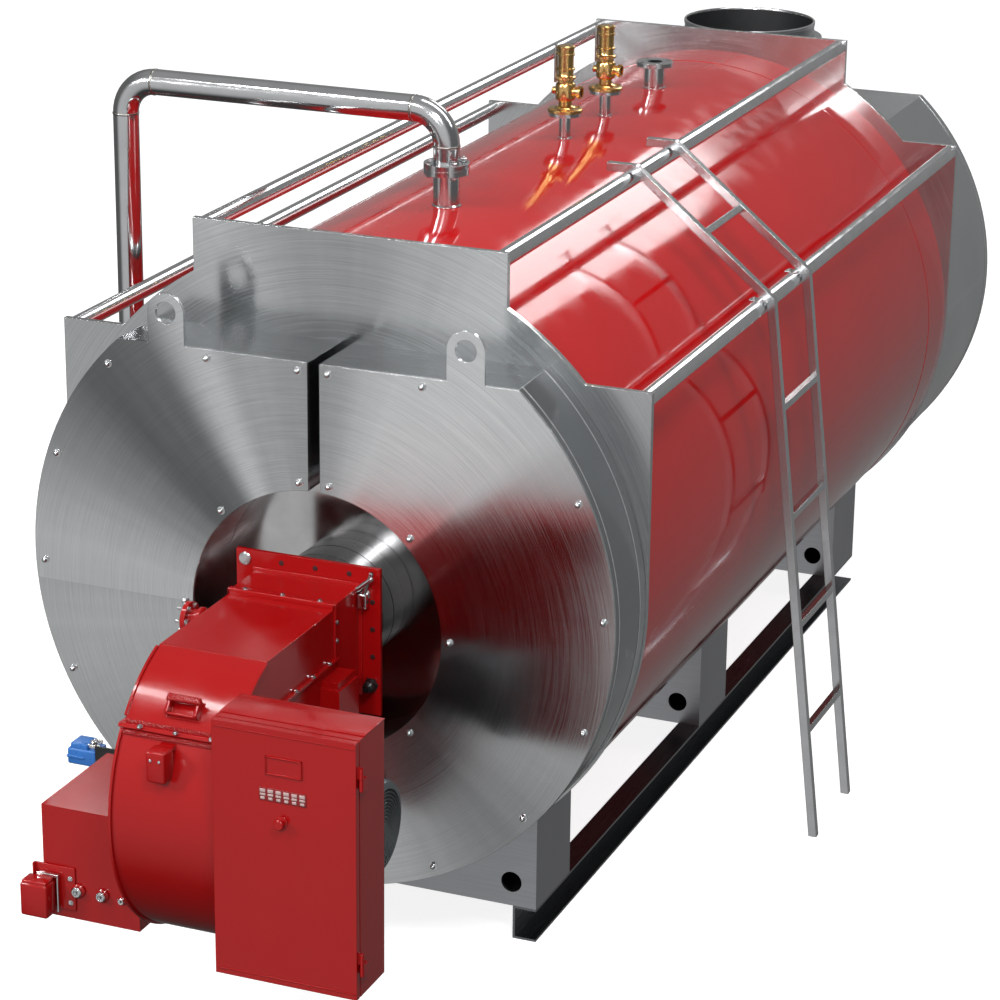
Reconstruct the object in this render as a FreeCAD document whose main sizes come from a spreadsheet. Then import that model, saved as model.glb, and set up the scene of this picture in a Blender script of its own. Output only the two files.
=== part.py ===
import FreeCAD, Part
import os
import re

# Horizontal three-pass boiler with a forced-draught burner, in millimetres.
# +X is the ladder side, -Y the burner end, +Z up. The origin lies on the ground,
# under the middle of the whole plant.

SIZES = {
    # ground, shell and end plates
    "axis_height": 1200,        # shell axis above the ground
    "front_y": -1490,           # outer face of the front end plate
    "plates_apart": 3552,       # clear length between the end plates
    "plate_thick": 20,
    "shell_radius": 990,
    "shell_wall": 14,
    "seat_clearance": 0.3,      # between curved seats that meet
    "port_margin": 2,           # shell ports wider than the bores above them
    "plate_half_width": 1000,   # vertical sides, and the radius of the lower half
    "shoulder_z": 693,          # lower step, above the axis
    "crown_radius": 1046,       # arc between the two steps
    "crown_half_width": 530,    # upper step
    "crown_top_z": 1074,        # top edge, above the axis
    # smokeboxes
    "box_radius": 990,
    "box_flat_z": 732,          # flat top, above the axis
    "box_wall": 12,
    "cover_thick": 12,
    "front_box_depth": 250,
    "rear_box_depth": 688,
    "recess_radius": 426,
    "recess_drop": 105,         # burner centre below the shell axis
    "liner_wall": 8,
    "recess_plate_thick": 12,
    "slot_width": 40,
    "trench_wall": 8,
    "lug_offset": 500,
    "lug_radius": 62,
    "lug_rise": 100,            # eye centre above the flat top
    "lug_hole_radius": 35,
    # burner
    "tube_radius": 195,
    "flange_gap": 50,           # burner flange ahead of the front cover
    "flange_half": 244,
    "flange_top_z": 120,
    "flange_bottom_z": -363,
    "flange_thick": 14,
    "duct_half": 175,
    "duct_top_z": 58,
    "duct_bottom_z": -300,
    "duct_seam_y": -470,        # joint between duct and fan housing
    "fan_radius": 475,
    "fan_y": -787,
    "fan_z": -405,
    "housing_top_z": 46,
    "bend_y": -940,
    "seam_z": -112,
    "seam_thick": 10,
    "seam_lip": 12,
    "handle_width": 110,
    "handle_depth": 60,
    "handle_height": 45,
    "handle_post": 14,
    "handle_bar": 12,
    "handle_y": -1170,
    "handle_z": -50,
    "latch_width": 60,
    "latch_x": -20,
    "latch_top_z": -140,
    "latch_bottom_z": -235,
    "latch_front_y": -1275,
    # air inlet
    "intake_left": -560,
    "intake_right": -235,
    "intake_front": -1000,
    "intake_back": -590,
    "intake_top": -512,
    "intake_bottom": -876,
    "inlet_radius": 160,
    "inlet_rise": 20,           # inlet ring above the intake box's floor
    "servo_width": 92,
    "servo_depth": 70,
    "servo_height": 125,
    "servo_arm": 34,
    "servo_lap": 8,             # the servo's reach past its arm
    "servo_rise": 28,           # arm above the intake box's floor
    "servo_drop": 8,            # servo below its arm
    "arm_thick": 6,
    "damper_drive_width": 100,
    "damper_drive_depth": 75,
    "damper_drive_height": 75,
    "damper_arm": 60,
    "damper_behind": 30,        # drive behind the intake box
    "damper_shelf_drop": 20,
    # gas inlet and ignition box
    "gas_y": -520,
    "gas_z": -42,
    "gas_pipe_radius": 30,
    "gas_bore_radius": 25,
    "gas_flange_radius": 52,
    "gas_flange_thick": 16,
    "gas_reach": 130,
    "gas_bolt_circle": 80,
    "gas_bolt_hole": 5,
    "ignition_width": 65,
    "ignition_front": -590,
    "ignition_back": -450,
    "ignition_top": -150,
    "ignition_height": 160,
    "ignition_lid": 22,
    "ignition_step": 8,         # the lid stands in from the box
    # fan motor
    "motor_radius": 125,
    "motor_y": -800,
    "motor_z": -485,
    "motor_length": 240,
    "motor_collar": 16,
    "guard_radius": 145,
    "guard_length": 70,
    # control cabinet
    "cabinet_right": 620,
    "cabinet_front": -1300,
    "cabinet_back": -1110,
    "cabinet_top": 10,
    "cabinet_height": 790,
    "cabinet_wall": 6,
    "door_thick": 20,
    "door_gap": 6,
    "hinge_offset": 12,
    "hinge_radius": 6,
    "pin_radius": 3,
    "pin_clearance": 0.3,
    "knuckle_length": 35,
    "knuckle_gap": 0.4,
    "hinge_inset": 110,
    "hinge_leaf": 16,
    # rails and ladder
    "rail_radius": 28,
    "ladder_y": 1130,
    "ladder_width": 390,
    "stile": 28,
    "rung": 23,
    "stile_clearance": 0.3,
    "hook_x": 430,
    "foot_x": 1241,
    "foot_spare": 0.05,         # share of each leg cut off by the ground
    "rung_pitch": 380,
    "rung_first": 370,
    "rung_count_low": 4,
    # saddles and base
    "saddle_half_width": 654,
    "saddle_depth": 300,
    "saddle_plate": 12,
    "saddle_hole_radius": 35,   # in each saddle's front plate
    "saddle_hole_x": 568,
    "saddle_hole_rise": 83,     # hole centre above the channels
    "mid_saddle_y": 1615,
    "channel_height": 115,
    "channel_web_x": 574,
    "channel_width": 80,
    "channel_wall": 8,
    # top fittings
    "steam_y": 775,
    "steam_pipe_radius": 44,
    "steam_bore_radius": 39,
    "pipe_flange_radius": 76,
    "pipe_flange_thick": 18,
    "steam_joint_z": 1116,
    "elbow_radius": 115,
    "steam_run_z": 1303,
    "steam_run_x": 1180,
    "steam_end_z": -1000,
    "pipe_bolt_circle": 120,
    "pipe_bolt_hole": 7,
    "valve_front_y": 1850,
    "valve_rear_y": 2260,
    "valve_stub_radius": 21,
    "valve_stub_bore": 15,
    "valve_joint_z": 1085,
    "valve_base_radius": 58,
    "valve_flange_radius": 63,
    "valve_flange_thick": 12,
    "valve_height": 240,
    "valve_body_radius": 30,
    "valve_outlet_z": 80,
    "valve_outlet_reach": 62,
    "valve_outlet_radius": 22,
    "valve_outlet_wall": 6,
    "valve_cap": 20,
    "spare_y": 2800,
    "spare_radius": 39,
    "spare_bore_radius": 28,
    "spare_flange_radius": 70,
    "spare_flange_thick": 16,
    "spare_joint_z": 1090,
    "spare_bolt_circle": 110,
    "spare_bolt_hole": 8,
    # flue
    "flue_behind": 378,         # flue centre behind the rear end plate
    "flue_bore_radius": 260,
    "flue_wall": 8,
    "flue_top_z": 1045,
    "flue_ring_radius": 300,
    "flue_ring_thick": 12,
    "flue_ring_drop": 60,
}

doc = FreeCAD.newDocument("boiler")
sheet = doc.addObject("Spreadsheet::Sheet", "Dims")
for row, (alias, value) in enumerate(SIZES.items(), start=1):
    sheet.set("A%d" % row, alias)
    sheet.set("B%d" % row, str(value))
    sheet.setAlias("B%d" % row, alias)
doc.recompute()

parts = []
UPRIGHT = FreeCAD.Rotation()
AXES = {
    "x": FreeCAD.Rotation(FreeCAD.Vector(0, 1, 0), 90),
    "y": FreeCAD.Rotation(FreeCAD.Vector(1, 0, 0), -90),
    "z": UPRIGHT,
}

# Places that several pieces share, as expressions in the sheet's sizes.
REAR_Y = "(front_y + 2 * plate_thick + plates_apart)"
SHELL_FRONT = "(front_y + plate_thick)"
SHELL_BACK = "(front_y + plate_thick + plates_apart)"
BOX_FRONT = "(front_y - front_box_depth)"
COVER_BACK = "(front_y - front_box_depth + cover_thick)"
BOX_REAR = "(%s + rear_box_depth)" % REAR_Y
BURNER_Z = "(axis_height - recess_drop)"
FLANGE_FRONT = "(front_y - front_box_depth - flange_gap)"
FLANGE_BACK = "(front_y - front_box_depth - flange_gap + flange_thick)"
UPPER_RAIL_X = "(crown_half_width - rail_radius)"
UPPER_RAIL_Z = "(axis_height + crown_top_z - rail_radius)"
LOWER_RAIL_X = "(plate_half_width - rail_radius)"
LOWER_RAIL_Z = "(axis_height + shoulder_z - rail_radius)"
CABINET_LEFT = "duct_half"
DOOR_BACK = "(front_y + cabinet_front + door_thick)"
BODY_FRONT = "(front_y + cabinet_front + door_thick + door_gap)"
CABINET_Z = "(axis_height + cabinet_top - cabinet_height)"
HINGE_X = "(cabinet_right + hinge_offset)"
HINGE_Y = "(front_y + cabinet_front + door_thick / 2)"
GROUND = "0"


def size(alias):
    """The value of one named size."""
    return float(sheet.get(alias))


def named(text):
    """An expression with each size's name pointed at the sheet."""
    return re.sub(r"[a-z]+(?:_[a-z]+)+|stile|rung", lambda word: "Dims." + word.group(0)
                  if word.group(0) in SIZES else word.group(0), str(text))


def bind(item, prop, text):
    item.setExpression(prop, named(text))


def place(item, x, y, z):
    bind(item, "Placement.Base.x", x)
    bind(item, "Placement.Base.y", y)
    bind(item, "Placement.Base.z", z)


def block(x, y, z):
    """A box between two expressions along each axis."""
    item = doc.addObject("Part::Box", "Block")
    for prop, (low, high) in zip(("Length", "Width", "Height"), (x, y, z)):
        bind(item, prop, "(%s) - (%s)" % (high, low))
    place(item, x[0], y[0], z[0])
    return item


def rod(axis, radius, along, centre):
    """A cylinder along one axis, from along[0] to along[1]; centre holds the other two."""
    item = doc.addObject("Part::Cylinder", "Rod")
    item.Placement = FreeCAD.Placement(FreeCAD.Vector(), AXES[axis])
    bind(item, "Radius", radius)
    bind(item, "Height", "(%s) - (%s)" % (along[1], along[0]))
    low = along[0]
    spots = {"x": (low,) + centre, "y": (centre[0], low, centre[1]), "z": centre + (low,)}
    place(item, *spots[axis])
    return item


def tapered(radius_low, radius_high, along, centre):
    """An upright cone between two radii."""
    item = doc.addObject("Part::Cone", "Taper")
    bind(item, "Radius1", radius_low)
    bind(item, "Radius2", radius_high)
    bind(item, "Height", "(%s) - (%s)" % (along[1], along[0]))
    place(item, centre[0], centre[1], along[0])
    return item


def fuse(*pieces):
    item = doc.addObject("Part::MultiFuse", "Fuse")
    item.Shapes = list(pieces)
    item.Refine = True
    return item


def common(*pieces):
    item = doc.addObject("Part::MultiCommon", "Common")
    item.Shapes = list(pieces)
    return item


def cut(base, *tools):
    item = doc.addObject("Part::Cut", "Cut")
    item.Base = base
    item.Tool = tools[0] if len(tools) == 1 else fuse(*tools)
    return item


def part(label, item):
    """Name one finished piece of the boiler."""
    item.Label = label
    parts.append(item)
    return item


def profile(label, plane, corners, length, start):
    """A padded outline: a body whose sketch has its corners bound to the sheet."""
    import Sketcher
    body = doc.addObject("PartDesign::Body", "Body")
    sketch = body.newObject("Sketcher::SketchObject", "Outline")
    origin = [o for o in body.Origin.OriginFeatures if getattr(o, "Role", "") == plane][0]
    sketch.AttachmentSupport = [(origin, "")]
    sketch.MapMode = "FlatFace"
    count = len(corners)
    rough = [FreeCAD.Vector(evaluate(a), evaluate(b), 0) for a, b in corners]
    for index in range(count):
        sketch.addGeometry(Part.LineSegment(rough[index], rough[(index + 1) % count]))
    for index in range(count):
        sketch.addConstraint(Sketcher.Constraint("Coincident", index, 2, (index + 1) % count, 1))
    for index, (a, b) in enumerate(corners):
        for kind, text, value in (("DistanceX", a, rough[index].x), ("DistanceY", b, rough[index].y)):
            number = sketch.addConstraint(Sketcher.Constraint(kind, -1, 1, index, 1, value))
            sketch.setExpression("Constraints[%d]" % number, named(text))
    pad = body.newObject("PartDesign::Pad", "Pad")
    pad.Profile = sketch
    bind(pad, "Length", length)
    body.Tip = pad
    bind(body, start[0], start[1])
    return part(label, body)


def evaluate(text):
    """The present value of an expression."""
    return float(sheet.evalExpression(named(text).replace("Dims.", "")))


def end_outline(y):
    """Stepped end plate: round below, two steps with an arc between them above."""
    lower = rod("y", "plate_half_width", y, ("0", "axis_height"))
    sides = block(("-plate_half_width", "plate_half_width"), y,
                  ("axis_height", "axis_height + shoulder_z"))
    arc = common(rod("y", "crown_radius", y, ("0", "axis_height")),
                 block(("-plate_half_width", "plate_half_width"), y,
                       ("axis_height", "axis_height + crown_radius")))
    crown = block(("-crown_half_width", "crown_half_width"), y,
                  ("axis_height", "axis_height + crown_top_z"))
    return fuse(lower, sides, arc, crown)


def flat_topped(radius, flat, y):
    """A disc cut off level by a flat top."""
    return common(rod("y", radius, y, ("0", "axis_height")),
                  block(("-(%s)" % radius, radius), y,
                        ("axis_height - (%s)" % radius, "axis_height + (%s)" % flat)))


def ring(axis, outer, inner, along, centre):
    return cut(rod(axis, outer, along, centre), rod(axis, inner, along, centre))


def lug(side, y):
    """One lifting eye that stands on a cover's flat top."""
    x = "%s * lug_offset" % side
    eye_z = "axis_height + box_flat_z + lug_rise"
    neck = block((x + " - lug_radius", x + " + lug_radius"), y,
                 ("axis_height + box_flat_z - lug_radius", eye_z))
    return fuse(neck, rod("y", "lug_radius", y, (x, eye_z)))


def lug_hole(side, y):
    return rod("y", "lug_hole_radius", y, ("%s * lug_offset" % side,
                                           "axis_height + box_flat_z + lug_rise"))


def bolt_holes(axis, radius, circle, count, along, centre):
    """Holes on a bolt circle, set between the main axes."""
    holes = []
    for index in range(count):
        angle = "%g deg" % (360.0 * (index + 0.5) / count)
        first = "(%s) / 2 * cos(%s)" % (circle, angle)
        second = "(%s) / 2 * sin(%s)" % (circle, angle)
        spot = ("%s + %s" % (centre[0], first), "%s + %s" % (centre[1], second))
        holes.append(rod(axis, radius, along, spot))
    return holes


def shell():
    """The red cylinder, open under each nozzle and valve stub on its top."""
    tube = ring("y", "shell_radius", "shell_radius - shell_wall", (SHELL_FRONT, SHELL_BACK),
                ("0", "axis_height"))
    top = ("axis_height + shell_radius / 2", "axis_height + 2 * shell_radius")
    ports = (("steam_bore_radius", "steam_y"), ("valve_stub_bore", "valve_front_y"),
             ("valve_stub_bore", "valve_rear_y"), ("spare_bore_radius", "spare_y"))
    part("boiler_shell", cut(tube, *[rod("z", bore + " + port_margin", top, ("0", "front_y + " + y))
                                     for bore, y in ports]))


def end_plates():
    part("front_end_plate", end_outline(("front_y", SHELL_FRONT)))
    part("rear_end_plate", end_outline((SHELL_BACK, REAR_Y)))


def front_smokebox():
    """Wrapper, trench walls, bolted cover, and the round recess for the burner."""
    y = (COVER_BACK, "front_y")
    centre = ("0", BURNER_Z)
    slot = ("-slot_width / 2", "slot_width / 2")
    trench = ("-slot_width / 2 - trench_wall", "slot_width / 2 + trench_wall")
    top = "axis_height + box_flat_z"
    hollow = flat_topped("box_radius - box_wall", "box_flat_z - box_wall", y)
    wrap = cut(flat_topped("box_radius", "box_flat_z", y), hollow)
    walls = cut(block(trench, y, (BURNER_Z, top)),
                rod("y", "recess_radius + liner_wall", y, centre))
    part("front_smokebox", cut(fuse(wrap, walls), block(slot, y, (BURNER_Z, top))))
    cover_y = (BOX_FRONT, COVER_BACK)
    cover = fuse(flat_topped("box_radius", "box_flat_z", cover_y), lug("-1", cover_y),
                 lug("1", cover_y))
    part("front_cover", cut(cover, lug_hole("-1", cover_y), lug_hole("1", cover_y),
                            rod("y", "recess_radius", cover_y, centre),
                            block(slot, cover_y, (BURNER_Z, top))))
    part("recess_liner", cut(ring("y", "recess_radius + liner_wall", "recess_radius", y, centre),
                             block(slot, y, (BURNER_Z, top))))
    plate_y = ("front_y - recess_plate_thick", "front_y")
    part("recess_plate", rod("y", "recess_radius - seat_clearance", plate_y, centre))


def burner():
    """Blast tube, square flange, duct and the two halves of the fan housing."""
    part("blast_tube", rod("y", "tube_radius", (FLANGE_BACK, "front_y - recess_plate_thick"),
                           ("0", BURNER_Z)))
    part("burner_flange", block(("-flange_half", "flange_half"), (FLANGE_FRONT, FLANGE_BACK),
                                ("axis_height + flange_bottom_z", "axis_height + flange_top_z")))
    half = ("-duct_half", "duct_half")
    part("burner_duct", block(half, ("front_y + duct_seam_y", FLANGE_FRONT),
                              ("axis_height + duct_bottom_z", "axis_height + duct_top_z")))
    drum = ("front_y + fan_y", "axis_height + fan_z")
    reach = ("front_y + fan_y - fan_radius", "front_y + duct_seam_y")
    seam = "axis_height + seam_z"
    floor = "axis_height + fan_z - fan_radius"
    body_y = ("front_y + bend_y", "front_y + duct_seam_y")
    upper = fuse(rod("x", "fan_radius", half, (drum[0], drum[1])),
                 block(half, body_y, (seam, "axis_height + housing_top_z")))
    upper_zone = block(half, reach, (seam, "axis_height + housing_top_z"))
    part("fan_housing_upper", common(upper, upper_zone))
    lower = rod("x", "fan_radius", half, (drum[0], drum[1]))
    throat = block(half, ("front_y + fan_y", "front_y + duct_seam_y"),
                   ("axis_height + duct_bottom_z", seam))
    tail = block(half, ("front_y + fan_y - fan_radius", "front_y + fan_y + fan_radius"),
                 (floor, seam + " - seam_thick"))
    duct_room = block(half, ("front_y + duct_seam_y", "front_y"),
                      ("axis_height + duct_bottom_z - seat_clearance", seam))
    part("fan_housing_lower", cut(common(fuse(lower, throat), tail), duct_room))
    lip = ("-duct_half - seam_lip", "duct_half + seam_lip")
    strip = block(lip, ("front_y + fan_y - fan_radius - seam_lip", "front_y + duct_seam_y"),
                  (seam + " - seam_thick", seam))
    nose = rod("x", "fan_radius + seam_lip", lip, (drum[0], drum[1]))
    heel = block(lip, ("front_y + fan_y", "front_y + duct_seam_y"), (floor, seam))
    cabinet_room = block((CABINET_LEFT, "duct_half + 2 * seam_lip"),
                         ("front_y + cabinet_front", "front_y + cabinet_back"),
                         (floor, "axis_height"))
    part("housing_seam", cut(common(strip, fuse(nose, heel)), cabinet_room))


def burner_fittings():
    """Pieces carried on the fan housing: handle, latch, ignition box and gas inlet."""
    drum = rod("x", "fan_radius + seat_clearance", ("-duct_half", "duct_half"),
               ("front_y + fan_y", "axis_height + fan_z"))
    grip = block(("-handle_width / 2", "handle_width / 2"),
                 ("front_y + handle_y", "front_y + handle_y + handle_depth"),
                 ("axis_height + handle_z - handle_height", "axis_height + handle_z"))
    gap = block(("-handle_width / 2 + handle_post", "handle_width / 2 - handle_post"),
                ("front_y + handle_y + handle_bar", "front_y + handle_y + handle_depth"),
                ("axis_height + handle_z - handle_height", "axis_height + handle_z - handle_bar"))
    part("housing_handle", cut(grip, gap, drum))
    drum_again = rod("x", "fan_radius + seat_clearance", ("-duct_half", "duct_half"),
                     ("front_y + fan_y", "axis_height + fan_z"))
    latch = block(("latch_x - latch_width / 2", "latch_x + latch_width / 2"),
                  ("front_y + latch_front_y", "front_y + fan_y"),
                  ("axis_height + latch_bottom_z", "axis_height + latch_top_z"))
    part("housing_latch", cut(latch, drum_again))
    top = "axis_height + ignition_top"
    y = ("front_y + ignition_front", "front_y + ignition_back")
    lid_y = (y[0] + " + ignition_step", y[1] + " - ignition_step")
    box_x = ("duct_half", "duct_half + ignition_width")
    lid_x = ("duct_half", "duct_half + ignition_width - ignition_step")
    low = top + " - ignition_height"
    part("ignition_box", fuse(block(box_x, y, (low, top + " - ignition_lid")),
                              block(lid_x, lid_y, (top + " - ignition_lid", top))))
    centre = ("front_y + gas_y", "axis_height + gas_z")
    end = "-duct_half - gas_reach"
    face = (end, end + " + gas_flange_thick")
    root = ("-duct_half - gas_flange_thick", "-duct_half")
    pipe = fuse(rod("x", "gas_pipe_radius", (end, "-duct_half"), centre),
                rod("x", "gas_flange_radius", face, centre),
                rod("x", "gas_flange_radius", root, centre))
    holes = bolt_holes("x", "gas_bolt_hole", "gas_bolt_circle", 6, face, centre)
    part("gas_inlet", cut(pipe, rod("x", "gas_bore_radius", (end, "-duct_half"), centre), *holes))


def air_inlet():
    """Inlet box beside the fan, with its servo and the damper drive."""
    x = ("intake_left", "intake_right")
    y = ("front_y + intake_front", "front_y + intake_back")
    z = ("axis_height + intake_bottom", "axis_height + intake_top")
    neck = rod("x", "inlet_radius", ("intake_right", "-duct_half"),
               ("front_y + fan_y", "(%s + inlet_rise + inlet_radius)" % z[0]))
    part("air_intake_box", fuse(block(x, y, z), neck))
    arm = block(("intake_left - servo_arm", "intake_left + servo_arm"),
                (y[0] + " - arm_thick", y[0]),
                (z[0] + " + servo_rise", z[0] + " + servo_rise + servo_height"))
    servo_left = "intake_left - servo_arm - servo_lap"
    servo_low = z[0] + " + servo_rise - servo_drop"
    servo = block((servo_left, servo_left + " + servo_width"),
                  (y[0] + " - arm_thick - servo_depth", y[0] + " - arm_thick"),
                  (servo_low, servo_low + " + servo_height"))
    part("air_servo", fuse(arm, servo))
    drive_y = ("%s + damper_behind" % y[1], "%s + damper_behind + damper_drive_depth" % y[1])
    part("damper_drive", block(("intake_left - damper_arm - damper_drive_width",
                                "intake_left - damper_arm"), drive_y,
                               (z[1] + " - damper_drive_height", z[1])))
    part("damper_bracket", fuse(
        block(("intake_left - damper_arm", "intake_left + damper_arm"),
              (drive_y[0], drive_y[0] + " + arm_thick"),
              (z[1] + " - damper_drive_height", z[1])),
        block(("intake_left", "intake_left + damper_arm"), (y[1], drive_y[0]),
              (z[1] + " - arm_thick - damper_shelf_drop", z[1] + " - damper_shelf_drop"))))


def fan_motor():
    """Foot-less motor on the fan's right side, with its cooling-fan guard."""
    centre = ("front_y + motor_y", "axis_height + motor_z")
    end = "duct_half + motor_length"
    part("fan_motor", fuse(rod("x", "motor_radius", ("duct_half", end), centre),
                           rod("x", "guard_radius", ("duct_half", "duct_half + motor_collar"), centre)))
    part("motor_guard", rod("x", "guard_radius", (end, end + " + guard_length"), centre))


def hinge_levels():
    return ("(%s + hinge_inset)" % CABINET_Z, "(axis_height + cabinet_top - hinge_inset)")


def cabinet():
    """Hollow cabinet, open to the front, and its lift-off hinged door."""
    x = (CABINET_LEFT, "cabinet_right")
    z = (CABINET_Z, "axis_height + cabinet_top")
    body_y = (BODY_FRONT, "front_y + cabinet_back")
    inner = block((x[0] + " + cabinet_wall", x[1] + " - cabinet_wall"),
                  (body_y[0], body_y[1] + " - cabinet_wall"),
                  (z[0] + " + cabinet_wall", z[1] + " - cabinet_wall"))
    pieces = [cut(block(x, body_y, z), inner)]
    knuckles = []
    bores = []
    for level in hinge_levels():
        low = level + " - knuckle_length"
        leaf = block(("%s - hinge_radius / 2" % HINGE_X, HINGE_X + " + hinge_radius"),
                     (HINGE_Y, BODY_FRONT + " + hinge_leaf"), (low, level))
        foot = block(("cabinet_right", "%s" % HINGE_X),
                     (BODY_FRONT, BODY_FRONT + " + hinge_leaf"), (low, level))
        post = rod("z", "hinge_radius", (low, level), (HINGE_X, HINGE_Y))
        pin = rod("z", "pin_radius", (low, level + " + knuckle_length"), (HINGE_X, HINGE_Y))
        pieces += [leaf, foot, post, pin]
        span = (level + " + knuckle_gap", level + " + knuckle_gap + knuckle_length")
        knuckles.append(rod("z", "hinge_radius", span, (HINGE_X, HINGE_Y)))
        knuckles.append(block(("cabinet_right - hinge_radius", HINGE_X),
                              (HINGE_Y, HINGE_Y + " + hinge_radius"), span))
        bores.append(rod("z", "pin_radius + pin_clearance", span, (HINGE_X, HINGE_Y)))
    part("cabinet_body", fuse(*pieces))
    slab = block(x, ("front_y + cabinet_front", DOOR_BACK), z)
    part("cabinet_door", cut(fuse(slab, *knuckles), *bores))


def rails():
    """Tubes between the end plates, at the steps of their outline."""
    span = (SHELL_FRONT, SHELL_BACK)
    for side, word in (("-", "left"), ("", "right")):
        part("upper_rail_" + word, rod("y", "rail_radius", span,
                                       (side + UPPER_RAIL_X, UPPER_RAIL_Z)))
        part("lower_rail_" + word, rod("y", "rail_radius", span,
                                       (side + LOWER_RAIL_X, LOWER_RAIL_Z)))


HOOK_Z = "(%s + rail_radius + stile_clearance + stile / 2)" % UPPER_RAIL_Z
TOP_BEND_X = "(%s + rail_radius)" % UPPER_RAIL_X
ELBOW_X = "(%s + rail_radius + stile_clearance + stile / 2)" % LOWER_RAIL_X
ELBOW_Z = "(%s + rail_radius + stile_clearance)" % LOWER_RAIL_Z


def slope(start, end):
    """The turn about Y that lays the X axis along a line in the XZ plane."""
    return "atan2((%s) - (%s), (%s) - (%s))" % (start[1], end[1], end[0], start[0])


def tilted(centre, y, angle, length, depth):
    """A bar of y width, centred in the XZ plane and turned about Y."""
    item = doc.addObject("Part::Box", "Bar")
    item.Placement = FreeCAD.Placement(FreeCAD.Vector(), FreeCAD.Rotation(
        FreeCAD.Vector(0, 1, 0), 1))
    bind(item, "Length", length)
    bind(item, "Width", "(%s) - (%s)" % (y[1], y[0]))
    bind(item, "Height", depth)
    bind(item, "Placement.Rotation.Angle", angle)
    back = "(%s) / 2" % length
    under = "(%s) / 2" % depth
    place(item, "%s - %s * cos(%s) - %s * sin(%s)" % (centre[0], back, angle, under, angle), y[0],
          "%s + %s * sin(%s) - %s * cos(%s)" % (centre[1], back, angle, under, angle))
    return item


def line_bar(start, end, y, depth):
    """A tilted bar from one point of the XZ plane to another."""
    length = "sqrt(((%s) - (%s))^2 + ((%s) - (%s))^2)" % (end[0], start[0], end[1], start[1])
    centre = ("((%s) + (%s)) / 2" % (start[0], end[0]), "((%s) + (%s)) / 2" % (start[1], end[1]))
    return tilted(centre, y, slope(start, end), length, depth)


def ladder():
    """Two bent stiles that hook over the upper rail, and the rungs between them."""
    hook = ("hook_x", HOOK_Z)
    bend = (TOP_BEND_X, HOOK_Z)
    elbow = (ELBOW_X, ELBOW_Z)
    foot = ("foot_x", GROUND)
    below = ("(foot_x + (foot_x - (%s)) * foot_spare)" % ELBOW_X, "(-(%s) * foot_spare)" % ELBOW_Z)
    front_stile_y = "front_y + ladder_y"
    for word, offset in (("front", "0"), ("rear", "ladder_width")):
        y = ("%s + %s - stile / 2" % (front_stile_y, offset), "%s + %s + stile / 2" % (front_stile_y, offset))
        pieces = [line_bar(hook, bend, y, "stile"), line_bar(bend, elbow, y, "stile"),
                  line_bar(elbow, below, y, "stile"), rod("y", "stile / 2", y, bend),
                  rod("y", "stile / 2", y, elbow)]
        above = block(("hook_x", "foot_x + stile"), y, (GROUND, HOOK_Z + " + stile"))
        part("ladder_stile_" + word, common(fuse(*pieces), above))
    y = ("%s + stile / 2" % front_stile_y, "%s + ladder_width - stile / 2" % front_stile_y)
    rungs = []
    for index in range(int(size("rung_count_low"))):
        share = "((rung_first + %d * rung_pitch) / (%s))" % (index, ELBOW_Z)
        spot = ("(%s + (foot_x - (%s)) * %s)" % (ELBOW_X, ELBOW_X, share),
                "(%s * (1 - %s))" % (ELBOW_Z, share))
        rungs.append(tilted(spot, y, slope(elbow, foot), "rung", "rung"))
    middle = ("((%s + %s) / 2)" % (TOP_BEND_X, ELBOW_X), "((%s + %s) / 2)" % (HOOK_Z, ELBOW_Z))
    rungs.append(tilted(middle, y, slope(bend, elbow), "rung", "rung"))
    part("ladder_rungs", fuse(*rungs))


def saddle(label, y):
    """A box of plates under the shell: a floor, two cross plates and two side plates."""
    ends = ("(%s)" % y, "(%s + saddle_depth)" % y)
    z = ("channel_height", "axis_height")
    body = block(("-saddle_half_width", "saddle_half_width"), ends, z)
    hollow = block(("-saddle_half_width + saddle_plate", "saddle_half_width - saddle_plate"),
                   (ends[0] + " + saddle_plate", ends[1] + " - saddle_plate"),
                   (z[0] + " + saddle_plate", z[1]))
    front_plate = (ends[0], ends[0] + " + saddle_plate")
    holes = [rod("y", "saddle_hole_radius", front_plate,
                 (sign + "saddle_hole_x", "channel_height + saddle_hole_rise"))
             for sign in ("-", "")]
    centre = ("0", "axis_height")
    tank = [rod("y", "shell_radius + seat_clearance", ends, centre),
            rod("y", "plate_half_width + seat_clearance", ("front_y", SHELL_FRONT), centre),
            rod("y", "plate_half_width + seat_clearance", (SHELL_BACK, REAR_Y), centre)]
    part(label, cut(body, hollow, *(tank + holes)))


def saddles():
    saddle("front_saddle", "front_y")
    saddle("middle_saddle", "front_y + mid_saddle_y")
    saddle("rear_saddle", "%s - saddle_depth" % REAR_Y)


def base_rails():
    """Steel channels along the ground, with their flanges turned outward."""
    x = ("channel_web_x", "channel_web_x + channel_width")
    corners = [(x[0], "0"), (x[1], "0"), (x[1], "channel_wall"),
               (x[0] + " + channel_wall", "channel_wall"),
               (x[0] + " + channel_wall", "channel_height - channel_wall"),
               (x[1], "channel_height - channel_wall"), (x[1], "channel_height"),
               (x[0], "channel_height")]
    length = "%s - (front_y)" % REAR_Y
    start = ("Placement.Base.y", REAR_Y)
    profile("base_rail_right", "XZ_Plane", corners, length, start)
    mirrored = [("-(%s)" % a, b) for a, b in corners]
    profile("base_rail_left", "XZ_Plane", mirrored, length, start)


def on_shell(radius, top, y):
    """An upright stub that is seated on the shell's curve."""
    stub = rod("z", radius, ("axis_height + shell_radius / 2", top), ("0", y))
    seat = rod("y", "shell_radius + seat_clearance", (y + " - shell_radius / 2", y + " + shell_radius / 2"),
               ("0", "axis_height"))
    return cut(stub, seat)


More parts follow.
